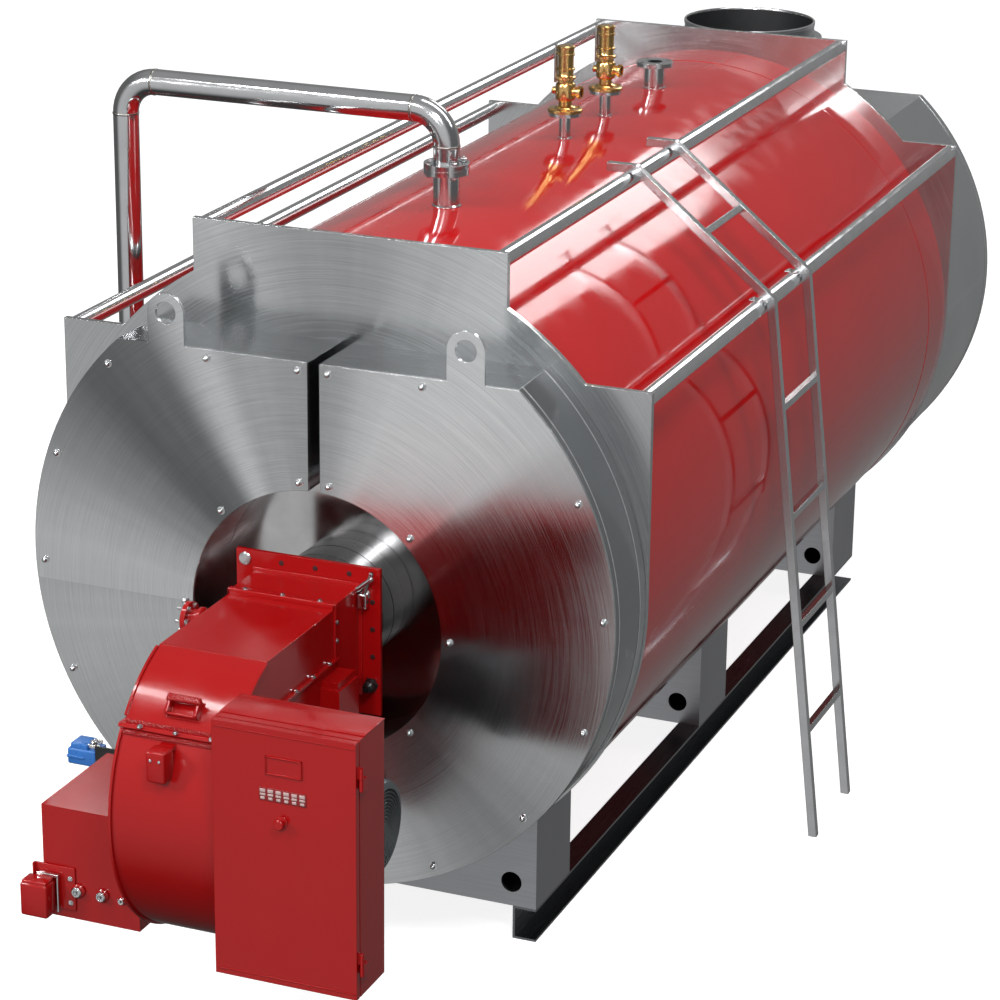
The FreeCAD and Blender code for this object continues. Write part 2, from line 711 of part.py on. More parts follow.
def steam_line():
    """Flanged nozzle, and the pipe that leaves it over the left side."""
    y = "front_y + steam_y"
    joint = "axis_height + steam_joint_z"
    face = (joint + " - pipe_flange_thick", joint)
    nozzle = fuse(on_shell("steam_pipe_radius", joint, y), rod("z", "pipe_flange_radius", face, ("0", y)))
    bore = rod("z", "steam_bore_radius", ("axis_height + shell_radius / 2", joint), ("0", y))
    holes = bolt_holes("z", "pipe_bolt_hole", "pipe_bolt_circle", 4, face, ("0", y))
    part("steam_nozzle", cut(nozzle, bore, *holes))
    run_z = "axis_height + steam_run_z"
    end_z = "axis_height + steam_end_z"
    part("steam_pipe", cut(pipe_route("steam_pipe_radius", y, joint, run_z, end_z, True),
                           pipe_route("steam_bore_radius", y, joint, run_z, end_z, False)))


def elbow(radius, centre, turn):
    """A quarter bend in the XZ plane, its torus turned to start at one side."""
    item = doc.addObject("Part::Torus", "Elbow")
    item.Angle3 = 90
    item.Placement = FreeCAD.Placement(FreeCAD.Vector(), FreeCAD.Rotation(
        FreeCAD.Vector(1, 0, 0), 90) * FreeCAD.Rotation(FreeCAD.Vector(0, 0, 1), turn))
    bind(item, "Radius1", "elbow_radius")
    bind(item, "Radius2", radius)
    place(item, *centre)
    return item


def pipe_route(radius, y, joint, run_z, end_z, flanged):
    """Riser, bend, level run, bend and drop, with a flange at each end if asked."""
    level = ("-steam_run_x + elbow_radius", "-elbow_radius")
    pieces = [rod("z", radius, (joint, run_z + " - elbow_radius"), ("0", y)),
              elbow(radius, ("-elbow_radius", y, run_z + " - elbow_radius"), 0),
              rod("x", radius, level, (y, run_z)),
              elbow(radius, ("-steam_run_x + elbow_radius", y, run_z + " - elbow_radius"), 90),
              rod("z", radius, (end_z, run_z + " - elbow_radius"), ("-steam_run_x", y))]
    if flanged:
        low = (joint, joint + " + pipe_flange_thick")
        foot = (end_z, end_z + " + pipe_flange_thick")
        pieces.append(cut(rod("z", "pipe_flange_radius", low, ("0", y)),
                          *bolt_holes("z", "pipe_bolt_hole", "pipe_bolt_circle", 4, low, ("0", y))))
        pieces.append(cut(rod("z", "pipe_flange_radius", foot, ("-steam_run_x", y)),
                          *bolt_holes("z", "pipe_bolt_hole", "pipe_bolt_circle", 4, foot,
                                      ("-steam_run_x", y))))
    return fuse(*pieces)


def safety_valve(word, y):
    """A steel stub with its flange, and the brass valve bolted on it."""
    joint = "axis_height + valve_joint_z"
    face = (joint + " - valve_flange_thick", joint)
    stub = fuse(on_shell("valve_stub_radius", joint, y), rod("z", "valve_base_radius", face, ("0", y)))
    part("valve_stub_" + word, cut(stub, rod("z", "valve_stub_bore",
                                             ("axis_height + shell_radius / 2", joint), ("0", y))))
    out_z = joint + " + valve_outlet_z"
    top = joint + " + valve_height"
    body = fuse(rod("z", "valve_flange_radius", (joint, joint + " + valve_flange_thick"), ("0", y)),
                rod("z", "valve_body_radius * 0.7", (joint, top), ("0", y)),
                tapered("valve_body_radius", "valve_body_radius * 1.25",
                        (out_z + " - valve_outlet_radius - 12", out_z), ("0", y)),
                rod("z", "valve_body_radius * 1.25", (out_z, out_z + " + valve_outlet_radius"), ("0", y)),
                rod("z", "valve_body_radius", (out_z, top + " - valve_cap"), ("0", y)),
                rod("x", "valve_outlet_radius", ("0", "valve_outlet_reach"), (y, out_z)))
    mouth = rod("x", "valve_outlet_radius - valve_outlet_wall",
                ("valve_outlet_radius", "valve_outlet_reach"), (y, out_z))
    part("safety_valve_" + word, cut(body, mouth))


def spare_nozzle():
    y = "front_y + spare_y"
    joint = "axis_height + spare_joint_z"
    face = (joint + " - spare_flange_thick", joint)
    body = fuse(on_shell("spare_radius", joint, y), rod("z", "spare_flange_radius", face, ("0", y)))
    bore = rod("z", "spare_bore_radius", ("axis_height + shell_radius / 2", joint), ("0", y))
    part("spare_nozzle", cut(body, bore, *bolt_holes("z", "spare_bolt_hole", "spare_bolt_circle", 4,
                                                     face, ("0", y))))


def rear_smokebox():
    """Wrapper and bolted cover behind the rear plate, with the round flue collar on top."""
    y = (REAR_Y, BOX_REAR + " - cover_thick")
    centre = ("0", "%s + flue_behind" % REAR_Y)
    top = "axis_height + box_flat_z"
    wrap = cut(flat_topped("box_radius", "box_flat_z", y),
               flat_topped("box_radius - box_wall", "box_flat_z - box_wall", y))
    part("rear_smokebox", cut(wrap, rod("z", "flue_bore_radius", ("axis_height", top), centre)))
    part("rear_cover", flat_topped("box_radius", "box_flat_z", (y[1], BOX_REAR)))
    rim = "axis_height + flue_top_z"
    collar = fuse(rod("z", "flue_bore_radius + flue_wall", (top, rim), centre),
                  rod("z", "flue_ring_radius", (rim + " - flue_ring_drop - flue_ring_thick",
                                                rim + " - flue_ring_drop"), centre))
    part("flue_collar", cut(collar, rod("z", "flue_bore_radius", (top, rim), centre)))


def check():
    """Stop if any object failed or any piece has no sound shape."""
    bad = [item.Label for item in doc.Objects if {"Invalid", "Error"} & set(item.State)]
    bad += [item.Label for item in parts if item.Shape.isNull() or not item.Shape.isValid()]
    if bad:
        raise RuntimeError("failed: " + ", ".join(bad))


def export():
    os.makedirs("parts", exist_ok=True)
    for item in parts:
        item.Shape.exportStep("parts/%s.step" % item.Label)


shell()
end_plates()
front_smokebox()
burner()
burner_fittings()
air_inlet()
fan_motor()
cabinet()
rails()
ladder()
saddles()
base_rails()
steam_line()
safety_valve("front", "front_y + valve_front_y")
safety_valve("rear", "front_y + valve_rear_y")
spare_nozzle()
rear_smokebox()
doc.recompute()
check()
export()
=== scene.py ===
import bmesh
import bpy
import math
from mathutils import Matrix, Vector


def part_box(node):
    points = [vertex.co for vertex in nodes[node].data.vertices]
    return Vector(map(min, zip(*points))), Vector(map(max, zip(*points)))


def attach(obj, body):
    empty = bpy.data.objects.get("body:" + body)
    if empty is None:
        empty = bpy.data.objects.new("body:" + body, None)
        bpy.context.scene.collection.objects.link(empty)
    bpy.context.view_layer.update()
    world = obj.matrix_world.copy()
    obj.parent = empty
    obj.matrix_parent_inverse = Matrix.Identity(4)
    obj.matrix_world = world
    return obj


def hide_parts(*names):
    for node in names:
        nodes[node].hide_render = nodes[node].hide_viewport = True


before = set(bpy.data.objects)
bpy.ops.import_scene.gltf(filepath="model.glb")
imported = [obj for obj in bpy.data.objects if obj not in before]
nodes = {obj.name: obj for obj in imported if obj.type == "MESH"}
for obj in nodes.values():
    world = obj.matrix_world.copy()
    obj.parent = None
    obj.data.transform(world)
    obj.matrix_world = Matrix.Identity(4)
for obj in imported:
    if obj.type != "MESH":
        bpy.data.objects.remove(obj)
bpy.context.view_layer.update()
UP = Vector((0, 0, 1))

# ---------------------------------------------------------------- places, from the frame


def low(node):
    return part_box(node)[0]


def high(node):
    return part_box(node)[1]


def middle(node):
    lo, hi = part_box(node)
    return (lo + hi) / 2


AXIS_Z = middle("boiler_shell").z
SHELL_R = (high("boiler_shell").x - low("boiler_shell").x) / 2
COVER_Y = low("front_cover").y
COVER_R = high("front_cover").x
REAR_Y = high("rear_cover").y
FLAT_Z = high("front_smokebox").z
RECESS = middle("recess_plate")
DUCT_X = high("burner_duct").x
FAN_R = 0.475               # the fan drum
FAN = Vector((0, low("fan_housing_lower").y + FAN_R, low("fan_housing_lower").z + FAN_R))
SEAM_Z = low("fan_housing_upper").z
DOOR_RIGHT = 0.620          # the door's edge, inside its hinge knuckles


# ---------------------------------------------------------------- camera

CAMERA_OFFSET = Vector((4.0225, -8.6886, 3.5764))   # from the front end plate, on the shell's axis
CAMERA_YAW, CAMERA_PITCH, CAMERA_ROLL = 0.3838, 0.3375, -0.0113
CAMERA_LENS = 116.06


def make_camera():
    """A long lens ahead of the burner, to the right of it and above."""
    ahead = Vector((-math.sin(CAMERA_YAW) * math.cos(CAMERA_PITCH),
                    math.cos(CAMERA_YAW) * math.cos(CAMERA_PITCH), -math.sin(CAMERA_PITCH)))
    right = Vector((math.cos(CAMERA_YAW), math.sin(CAMERA_YAW), 0))
    down = ahead.cross(right)
    c, s = math.cos(CAMERA_ROLL), math.sin(CAMERA_ROLL)
    x_axis = c * right + s * down
    y_axis = s * right - c * down
    data = bpy.data.cameras.new("camera")
    data.lens = CAMERA_LENS
    data.sensor_width = 36
    data.clip_end = 200
    camera = bpy.data.objects.new("camera", data)
    turn = Matrix((x_axis, y_axis, -ahead)).transposed()
    spot = CAMERA_OFFSET + Vector((0, low("front_end_plate").y, AXIS_Z))
    camera.matrix_world = Matrix.Translation(spot) @ turn.to_4x4()
    bpy.context.scene.collection.objects.link(camera)
    bpy.context.scene.camera = camera


# ---------------------------------------------------------------- materials


class Nodes:
    """A short way to write a material's node tree."""

    def __init__(self, name):
        self.material = bpy.data.materials.new(name)
        self.material.use_nodes = True
        self.tree = self.material.node_tree
        self.shader = self.tree.nodes["Principled BSDF"]

    def add(self, kind, inputs=None, **settings):
        node = self.tree.nodes.new(kind)
        for key, value in settings.items():
            setattr(node, key, value)
        for key, value in (inputs or {}).items():
            self.feed(node.inputs[key], value)
        return node

    def feed(self, socket, value):
        if isinstance(value, bpy.types.NodeSocket):
            self.tree.links.new(value, socket)
        else:
            socket.default_value = value

    def maths(self, operation, *values):
        node = self.add("ShaderNodeMath", operation=operation)
        for socket, value in zip(node.inputs, values):
            self.feed(socket, value)
        return node.outputs[0]

    def span(self, value, new_low, new_high, old_low=0.0, old_high=1.0):
        return self.add("ShaderNodeMapRange", {"Value": value, "From Min": old_low,
                        "From Max": old_high, "To Min": new_low, "To Max": new_high}).outputs[0]

    def noise(self, vector, scale, detail=3.0, rough=0.5):
        return self.add("ShaderNodeTexNoise", {"Vector": vector, "Scale": scale, "Detail": detail,
                        "Roughness": rough}).outputs["Fac"]

    def mix(self, fac, one, two):
        node = self.add("ShaderNodeMix", data_type="RGBA")
        self.feed(node.inputs[0], fac)
        self.feed(node.inputs[6], one)
        self.feed(node.inputs[7], two)
        return node.outputs[2]

    def position(self):
        return self.add("ShaderNodeTexCoord").outputs["Object"]

    def stretch(self, vector, scale):
        return self.add("ShaderNodeMapping", {"Vector": vector, "Scale": scale}).outputs[0]

    def bump(self, height, strength, distance=0.001, edge=0.0):
        inputs = {"Height": height, "Strength": strength, "Distance": distance}
        if edge:
            inputs["Normal"] = self.add("ShaderNodeBevel", {"Radius": edge}, samples=4).outputs[0]
        node = self.add("ShaderNodeBump", inputs)
        self.feed(self.shader.inputs["Normal"], node.outputs[0])

    def set(self, **values):
        for key, value in values.items():
            self.feed(self.shader.inputs[key.replace("_", " ")], value)


def enamel(name, colour, dark, edge=0.003, grime=0.25, rough=0.14, coat=0.15):
    """Sprayed gloss enamel: slight colour drift, orange peel and soft worn edges."""
    n = Nodes(name)
    spot = n.position()
    drift = n.noise(spot, 2.2, 4)
    fine = n.noise(spot, 60, 2)
    n.set(Base_Color=n.mix(n.span(drift, 0.0, grime, 0.35, 0.75), colour + (1,), dark + (1,)),
          Roughness=n.span(n.noise(spot, 9, 5), rough - 0.03, rough + 0.09, 0.3, 0.7),
          Metallic=0.0, Specular_IOR_Level=0.32, Coat_Weight=coat, Coat_Roughness=0.04)
    n.bump(fine, 0.10, 0.0006, edge)
    return n.material


PAINTED_SHEEN_LEVEL = 0.64      # level of painted highlight and shade on ring-brushed steel between its wedges; below 1 it mixes the colour towards a near-black painted shade
# near-black colour of the painted shade
PAINTED_SHADE_COLOUR = (0.02, 0.022, 0.024, 1)


def brushed(name, colour, centre=None, rough=0.2, along=None, edge=0.002, aniso=0.65, lines=0.25, fan=()):
    """Brushed steel: rings of fine scratches about a centre, or straight ones along an axis; a fan paints
    wedges of highlight and shade into the colour.
    """
    n = Nodes(name)
    spot = n.position()
    if centre is not None:
        axes = n.add("ShaderNodeSeparateXYZ", {"Vector": spot})
        x = n.maths("SUBTRACT", axes.outputs[0], centre[0])
        z = n.maths("SUBTRACT", axes.outputs[2], centre[1])
        radius = n.maths("SQRT", n.maths("ADD", n.maths("MULTIPLY", x, x), n.maths("MULTIPLY", z, z)))
        angle = n.maths("ARCTAN2", z, x)
        grain = n.add("ShaderNodeCombineXYZ", {0: n.maths("MULTIPLY", radius, 380.0),
                      1: n.maths("MULTIPLY", angle, 3.0), 2: axes.outputs[1]}).outputs[0]
        tangent = n.add("ShaderNodeCombineXYZ", {0: n.maths("MULTIPLY", z, -1.0), 1: 0.0,
                                                 2: x}).outputs[0]
        tangent = n.add("ShaderNodeVectorMath", {0: tangent}, operation="NORMALIZE").outputs[0]
        n.feed(n.shader.inputs["Tangent"], tangent)
    else:
        scale = [260.0, 260.0, 260.0]
        scale["XYZ".index(along)] = 3.0
        grain = n.stretch(spot, scale)
        direction = n.add("ShaderNodeCombineXYZ", {"XYZ".index(along): 1.0}).outputs[0]
        n.feed(n.shader.inputs["Tangent"], direction)
    scratches = n.noise(grain, 1.0, 3, 0.65)
    clouds = n.noise(spot, 3.0, 3)
    tone = n.mix(n.span(scratches, 0.0, 1.0, 0.3, 0.7), tuple(c * 0.80 for c in colour) + (1,),
                 colour + (1,))
    if fan:
        # painted highlights and painted shade of ring-brushed steel: wedges of light and shade painted into
        # the colour about the centre, with faint painted streaks
        turn = n.maths("MULTIPLY", angle, 180 / math.pi)
        painted_light = PAINTED_SHEEN_LEVEL
        for aim, width, gain in fan:
            off = n.maths("ABSOLUTE", n.maths("SUBTRACT", turn, float(aim)))
            ends = {"Value": off, "From Min": 0.0, "From Max": float(width), "To Min": float(gain),
                    "To Max": 0.0}
            painted_wedge = n.add("ShaderNodeMapRange", ends, interpolation_type="SMOOTHSTEP").outputs[0]
            painted_light = n.maths("ADD", painted_light, painted_wedge)
        painted_rays = n.add("ShaderNodeCombineXYZ", {0: n.maths("MULTIPLY", angle, 9.0),
                                              1: n.maths("MULTIPLY", radius, 0.8)})
        painted_light = n.maths("ADD", painted_light, n.span(n.noise(painted_rays.outputs[0], 1.0, 4), -0.035, 0.035, 0.3, 0.7))
        tone = n.mix(painted_light, PAINTED_SHADE_COLOUR, tone)
    n.set(Base_Color=tone, Metallic=1.0, Anisotropic=aniso, Anisotropic_Rotation=0.25,
          Roughness=n.maths("ADD", n.span(scratches, rough - 0.04, rough + 0.05, 0.3, 0.7),
                            n.span(clouds, -0.02, 0.03, 0.3, 0.7)))
    n.bump(scratches, lines, 0.0002, edge)
    return n.material


def metal(name, colour, rough, edge=0.001, scale=40, strength=0.08):
    """Plain metal with faint clouds in its polish."""
    n = Nodes(name)
    spot = n.position()
    clouds = n.noise(spot, scale * 0.3, 3)
    n.set(Base_Color=n.mix(n.span(clouds, 0.0, 0.5, 0.3, 0.7), colour + (1,),
                           tuple(c * 0.8 for c in colour) + (1,)), Metallic=1.0,
          Roughness=n.span(clouds, rough - 0.03, rough + 0.05, 0.3, 0.7))
    n.bump(n.noise(spot, scale * 8, 2), strength, 0.0003, edge)
    return n.material


def plastic(name, colour, rough):
    """Plastic or matt paint with a fine grain."""
    n = Nodes(name)
    spot = n.position()
    n.set(Base_Color=n.mix(n.span(n.noise(spot, 25, 3), 0.0, 0.3, 0.3, 0.7), colour + (1,),
                           tuple(c * 0.7 for c in colour) + (1,)),
          Roughness=n.span(n.noise(spot, 60, 3), rough - 0.05, rough + 0.08, 0.3, 0.7))
    n.bump(n.noise(spot, 500, 2), 0.1, 0.0003, 0.002)
    return n.material


RED = (0.29, 0.003, 0.0035)
DEEP_RED = (0.21, 0.003, 0.003)
SHELL_RED = (0.46, 0.005, 0.006)
DEEP_SHELL_RED = (0.36, 0.004, 0.005)
STEEL = (0.86, 0.88, 0.89)
# painted highlights and shade of the plates: angle of each of the painted wedges in degrees, its half width
# and its gain (light above nought, shade below)
PLATE_PAINTED_SHEEN = ((60, 28, 0.30), (95, 20, -0.08), (115, 14, 0.15), (178, 40, 0.10), (-30, 30, -0.05))
COVER_PAINTED_SHEEN = ((58, 32, 0.60), (90, 16, -0.08), (116, 9, 0.40), (134, 32, -0.44), (177, 26, 0.22),
             (-168, 26, 0.14), (-85, 34, 0.14), (-44, 30, -0.24), (8, 22, 0.12))
MAT = {
    "red": enamel("red_enamel", RED, DEEP_RED),
    "shell": enamel("shell_enamel", SHELL_RED, DEEP_SHELL_RED, 0.0, 0.3, 0.07, 0.18),
    # plates and covers: brushed steel with painted highlights and painted shade in the colour
    "plate": brushed("brushed_plate", STEEL, (0.0, AXIS_Z), 0.16, aniso=0.80, lines=0.08, fan=PLATE_PAINTED_SHEEN),
    "cover": brushed("brushed_cover_painted_sheen", STEEL, (RECESS.x, RECESS.z), 0.16, aniso=0.80, lines=0.08,
                     fan=COVER_PAINTED_SHEEN),
    # one steel at two tones: the front wrapper darkened as painted shade, the rear wrapper lightened as
    # painted light
    "wrap": brushed("brushed_wrapper_painted_shade", (0.36, 0.375, 0.385), None, 0.15, "X"),
    "rear_wrap": brushed("rear_wrapper_painted_light", (0.60, 0.62, 0.63), None, 0.2, "X"),
    "liner": metal("recess_liner_steel", (0.10, 0.085, 0.085), 0.22),
    "disc": metal("recess_disc_steel", (0.60, 0.60, 0.60), 0.13),
    "tube": metal("polished_tube", (0.66, 0.67, 0.68), 0.12),
    "blast": brushed("blast_tube_steel", (0.24, 0.24, 0.245), None, 0.3, "X", 0.0015, 0.5, 0.10),
    "base": brushed("base_steel", (0.42, 0.43, 0.45), None, 0.34, "X", 0.0015, 0.3, 0.12),
    "rail": brushed("channel_steel", (0.20, 0.21, 0.22), None, 0.28, "Y", 0.0015, 0.3),
    "ladder": metal("ladder_steel", (0.56, 0.57, 0.58), 0.2, 0.003),
    "bolt": metal("bright_bolt", (0.70, 0.71, 0.72), 0.14, 0.0005),
    "edge": metal("bright_edge", (0.55, 0.56, 0.57), 0.20, 0.0005),
    "button": plastic("button_grey", (0.42, 0.30, 0.29), 0.3),
    "shade": plastic("hole_shadow", (0.035, 0.003, 0.004), 0.5),
    "shade_red": plastic("button_plate", (0.20, 0.006, 0.008), 0.35),
    "brass": metal("valve_brass", (0.70, 0.46, 0.18), 0.19, 0.0005),
    "grey": metal("lever_steel", (0.35, 0.34, 0.32), 0.28),
    "flue": metal("flue_rim_steel", (0.50, 0.52, 0.53), 0.18, 0.002),
    # near-black matt for the inside of the flue collar
    "near_black_lining": plastic("flue_lining", (0.012, 0.013, 0.014), 0.5),
    "motor": plastic("motor_grey", (0.10, 0.115, 0.12), 0.35),
    "grill": plastic("guard_grey", (0.07, 0.08, 0.085), 0.4),
    "blue": plastic("actuator_blue", (0.02, 0.13, 0.42), 0.3),
    "black": plastic("black_trim", (0.008, 0.008, 0.009), 0.35),
}

FINISH = {
    "boiler_shell": "shell", "front_end_plate": "plate", "rear_end_plate": "plate",
    "front_smokebox": "wrap", "rear_smokebox": "rear_wrap", "front_cover": "cover", "rear_cover": "plate",
    "recess_liner": "liner", "recess_plate": "disc", "blast_tube": "blast",
    "front_saddle": "base", "middle_saddle": "base", "rear_saddle": "base",
    "base_rail_left": "rail", "base_rail_right": "rail",
    "ladder_stile_front": "ladder", "ladder_stile_rear": "ladder", "ladder_rungs": "ladder",
    "upper_rail_left": "tube", "upper_rail_right": "tube", "lower_rail_left": "tube",
    "lower_rail_right": "tube", "steam_nozzle": "tube", "steam_pipe": "tube", "spare_nozzle": "tube",
    "valve_stub_front": "tube", "valve_stub_rear": "tube", "safety_valve_front": "brass",
    "safety_valve_rear": "brass", "flue_collar": "flue", "fan_motor": "motor",
    "motor_guard": "grill", "damper_drive": "blue", "damper_bracket": "black",
}


def finish_nodes():
    """Gives each node its material; those not listed are red."""
    for name, node in nodes.items():
        node.data.materials.clear()
        node.data.materials.append(MAT[FINISH.get(name, "red")])


# ---------------------------------------------------------------- mesh building


class Shape:
    """Collects small solids into one mesh."""

    def __init__(self):
        self.mesh = bmesh.new()

    def box(self, lo, hi, bevel=0.0, turn=None):
        lo, hi = Vector(lo), Vector(hi)
        made = bmesh.ops.create_cube(self.mesh, size=1.0)["verts"]
        size = hi - lo
        bmesh.ops.scale(self.mesh, vec=size, verts=made)
        if bevel:
            edges = list({e for v in made for e in v.link_edges})
            grown = bmesh.ops.bevel(self.mesh, geom=edges, offset=bevel, segments=3, profile=0.5,
                                    affect="EDGES")
            made = list({v for f in grown["faces"] for v in f.verts} | {v for v in made if v.is_valid})
        if turn:
            bmesh.ops.rotate(self.mesh, verts=made, matrix=turn, cent=(0, 0, 0))
        bmesh.ops.translate(self.mesh, verts=made, vec=(lo + hi) / 2)
        return self

    def lathe(self, profile, origin, axis=UP, steps=32, close=True):
        """Turns (radius, height) points about an axis through origin."""
        turn = UP.rotation_difference(Vector(axis)).to_matrix()
        rings = []
        for radius, height in profile:
            ring = []
            for index in range(steps):
                angle = 2 * math.pi * index / steps
                point = Vector((radius * math.cos(angle), radius * math.sin(angle), height))
                ring.append(self.mesh.verts.new(Vector(origin) + turn @ point))
            rings.append(ring)
        for one, two in zip(rings, rings[1:]):
            for index in range(steps):
                after = (index + 1) % steps
                self.mesh.faces.new((one[index], one[after], two[after], two[index]))
        if close:
            self.mesh.faces.new(list(reversed(rings[0])))
            self.mesh.faces.new(rings[-1])
        return self

    def rod(self, start, end, radius, steps=20, bevel=0.0):
        start, end = Vector(start), Vector(end)
        length = (end - start).length
        profile = [(radius, 0), (radius, length)]
        if bevel:
            profile = [(radius - bevel, 0), (radius, bevel), (radius, length - bevel),
                       (radius - bevel, length)]
        return self.lathe(profile, start, end - start, steps)

    def hex_bolt(self, spot, axis, size):
        """A washer, a six-sided head and its rounded top."""
        axis = Vector(axis).normalized()
        spot = Vector(spot)
        self.lathe([(size * 1.25, 0), (size * 1.25, size * 0.2)], spot, axis, 20)
        self.lathe([(size, size * 0.2), (size, size * 0.75), (size * 0.86, size * 0.9)], spot, axis, 6)
        return self

    def dome_nut(self, spot, axis, size):
        axis = Vector(axis).normalized()
        self.lathe([(size * 1.2, 0), (size * 1.2, size * 0.15)], spot, axis, 20)
        self.lathe([(size, size * 0.15), (size, size * 0.7)], spot, axis, 6)
        dome = [(size * 0.8 * math.cos(a * math.pi / 12), size * (0.7 + 0.75 * math.sin(a * math.pi / 12)))
                for a in range(6)]
        self.lathe(dome, spot, axis, 20)
        return self

    def piece(self, name, material, body="boiler", smooth=35):
        data = bpy.data.meshes.new(name)
        bmesh.ops.recalc_face_normals(self.mesh, faces=self.mesh.faces)
        self.mesh.to_mesh(data)
        self.mesh.free()
        data.materials.append(MAT[material])
        item = bpy.data.objects.new(name, data)
        bpy.context.scene.collection.objects.link(item)
        for face in data.polygons:
            face.use_smooth = True
        data.set_sharp_from_angle(angle=math.radians(smooth))
        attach(item, body)
        return item


# ---------------------------------------------------------------- smokebox covers


def cover_nuts():
    """Dome nuts round both covers, along their flat tops and round the burner recess."""
    size = 0.011
    ring_r = COVER_R - 0.035
    recess_ring = 0.453
    top_row_z = FLAT_Z - 0.028
    slot_side = 0.05
    front = Shape()
    rear = Shape()
    for index in range(16):
        angle = math.radians(2.5 + 22.5 * index)
        x, z = ring_r * math.cos(angle), ring_r * math.sin(angle)
        if AXIS_Z + z < FLAT_Z - 0.03:
            front.dome_nut((x, COVER_Y, AXIS_Z + z), (0, -1, 0), size)
            rear.dome_nut((x, REAR_Y, AXIS_Z + z), (0, 1, 0), size)
    for x in (-0.36, -slot_side, slot_side, 0.36):
        front.dome_nut((x, COVER_Y, top_row_z), (0, -1, 0), size)
        rear.dome_nut((x, REAR_Y, top_row_z), (0, 1, 0), size)
    for index in range(8):
        if index == 2:
            continue
        angle = math.radians(45 * index)
        x, z = RECESS.x + recess_ring * math.cos(angle), RECESS.z + recess_ring * math.sin(angle)
        front.dome_nut((x, COVER_Y, z), (0, -1, 0), size)
    for x in (-slot_side, slot_side):
        front.dome_nut((x, COVER_Y, RECESS.z + 0.45), (0, -1, 0), size)
    front.piece("front_cover_nuts", "bolt")
    rear.piece("rear_cover_nuts", "bolt")


# ---------------------------------------------------------------- burner trim


def on_drum(angle, lift=0.0):
    """A point on the fan drum, by its angle above the level line to the front."""
    reach = FAN_R + lift
    return Vector((0, FAN.y - reach * math.cos(angle), FAN.z + reach * math.sin(angle)))


def drum_band(shape, x0, x1, start, end, inner, outer, steps):
    """A curved strip on the drum between two angles."""
    for index in range(steps):
        one = start + (end - start) * index / steps
        two = start + (end - start) * (index + 1) / steps
        corners = []
        for angle, lift in ((one, inner), (two, inner), (two, outer), (one, outer)):
            spot = on_drum(angle, lift)
            corners.append([shape.mesh.verts.new((x, spot.y, spot.z)) for x in (x0, x1)])
        for here, there in zip(corners, corners[1:] + corners[:1]):
            shape.mesh.faces.new((here[0], here[1], there[1], there[0]))
        shape.mesh.faces.new([c[0] for c in corners])
        shape.mesh.faces.new([c[1] for c in reversed(corners)])


def burner_trim():
    """Bolt holes with painted shade in them as dark discs, swing latch and cable gland of the burner's
    flange, and the blast tube's seams.
    """
    front = low("burner_flange").y
    top = high("burner_flange").z
    side = high("burner_flange").x
    foot = low("burner_flange").z
    holes = Shape()
    spots = [(x, top - 0.028) for x in (-0.09, 0.025, 0.14)]
    spots += [(x, foot + 0.028) for x in (-0.14, 0.0, 0.14)]
    spots += [(s * (side - 0.026), top - drop) for s in (-1, 1) for drop in (0.11, 0.20, 0.29, 0.38)]
    # dark discs on the flange face: painted shade of its bolt holes
    for x, z in spots:
        holes.lathe([(0.0085, 0), (0.0085, 0.0008), (0.006, 0.001)], (x, front, z), (0, -1, 0), 20)
    holes.piece("burner_flange_hole_shades", "shade")
    silver = Shape()
    silver.lathe([(0.021, 0), (0.021, 0.003), (0.019, 0.005), (0.015, 0.005), (0.014, 0.0035),
                  (0.006, 0.0035)], (0.03 - side, front, top - 0.030), (0, -1, 0), 32)
    # swing latch on the flange's other upper corner
    hub = Vector((side - 0.050, front, top - 0.085))
    silver.lathe([(0.019, 0), (0.019, 0.007), (0.012, 0.010), (0.012, 0.022), (0.010, 0.025)], hub,
                 (0, -1, 0), 20)
    silver.rod(hub + Vector((-0.050, -0.020, -0.010)), hub + Vector((0.034, -0.020, 0.062)), 0.009, 16, 0.003)
    silver.rod(hub + Vector((0.0, -0.018, 0)), hub + Vector((0.030, -0.018, 0.078)), 0.0075, 16, 0.002)
    silver.box(hub + Vector((-0.015, -0.030, -0.042)), hub + Vector((0.015, -0.006, 0.006)), 0.004)
    silver.piece("burner_flange_latch", "bolt")
    rings = Shape()
    tube = (low("blast_tube") + high("blast_tube")) / 2
    seam_in, seam_out = 0.1950, 0.1962
    for back in (0.075, 0.16):
        rings.lathe([(seam_in, -0.002), (seam_out, -0.001), (seam_out, 0.001), (seam_in, 0.002)],
                    (0, high("blast_tube").y - back, tube.z), (0, 1, 0), 96)
    rings.piece("blast_tube_seams", "black")
    gland = Shape()
    spot = Vector((side - 0.030, front, foot + 0.10))
    gland.lathe([(0.024, 0), (0.024, 0.006)], spot, (0, -1, 0), 6)
    gland.lathe([(0.018, 0.006), (0.018, 0.026), (0.011, 0.034), (0.011, 0.044)], spot, (0, -1, 0), 24)
    gland.piece("burner_cable_gland", "black")


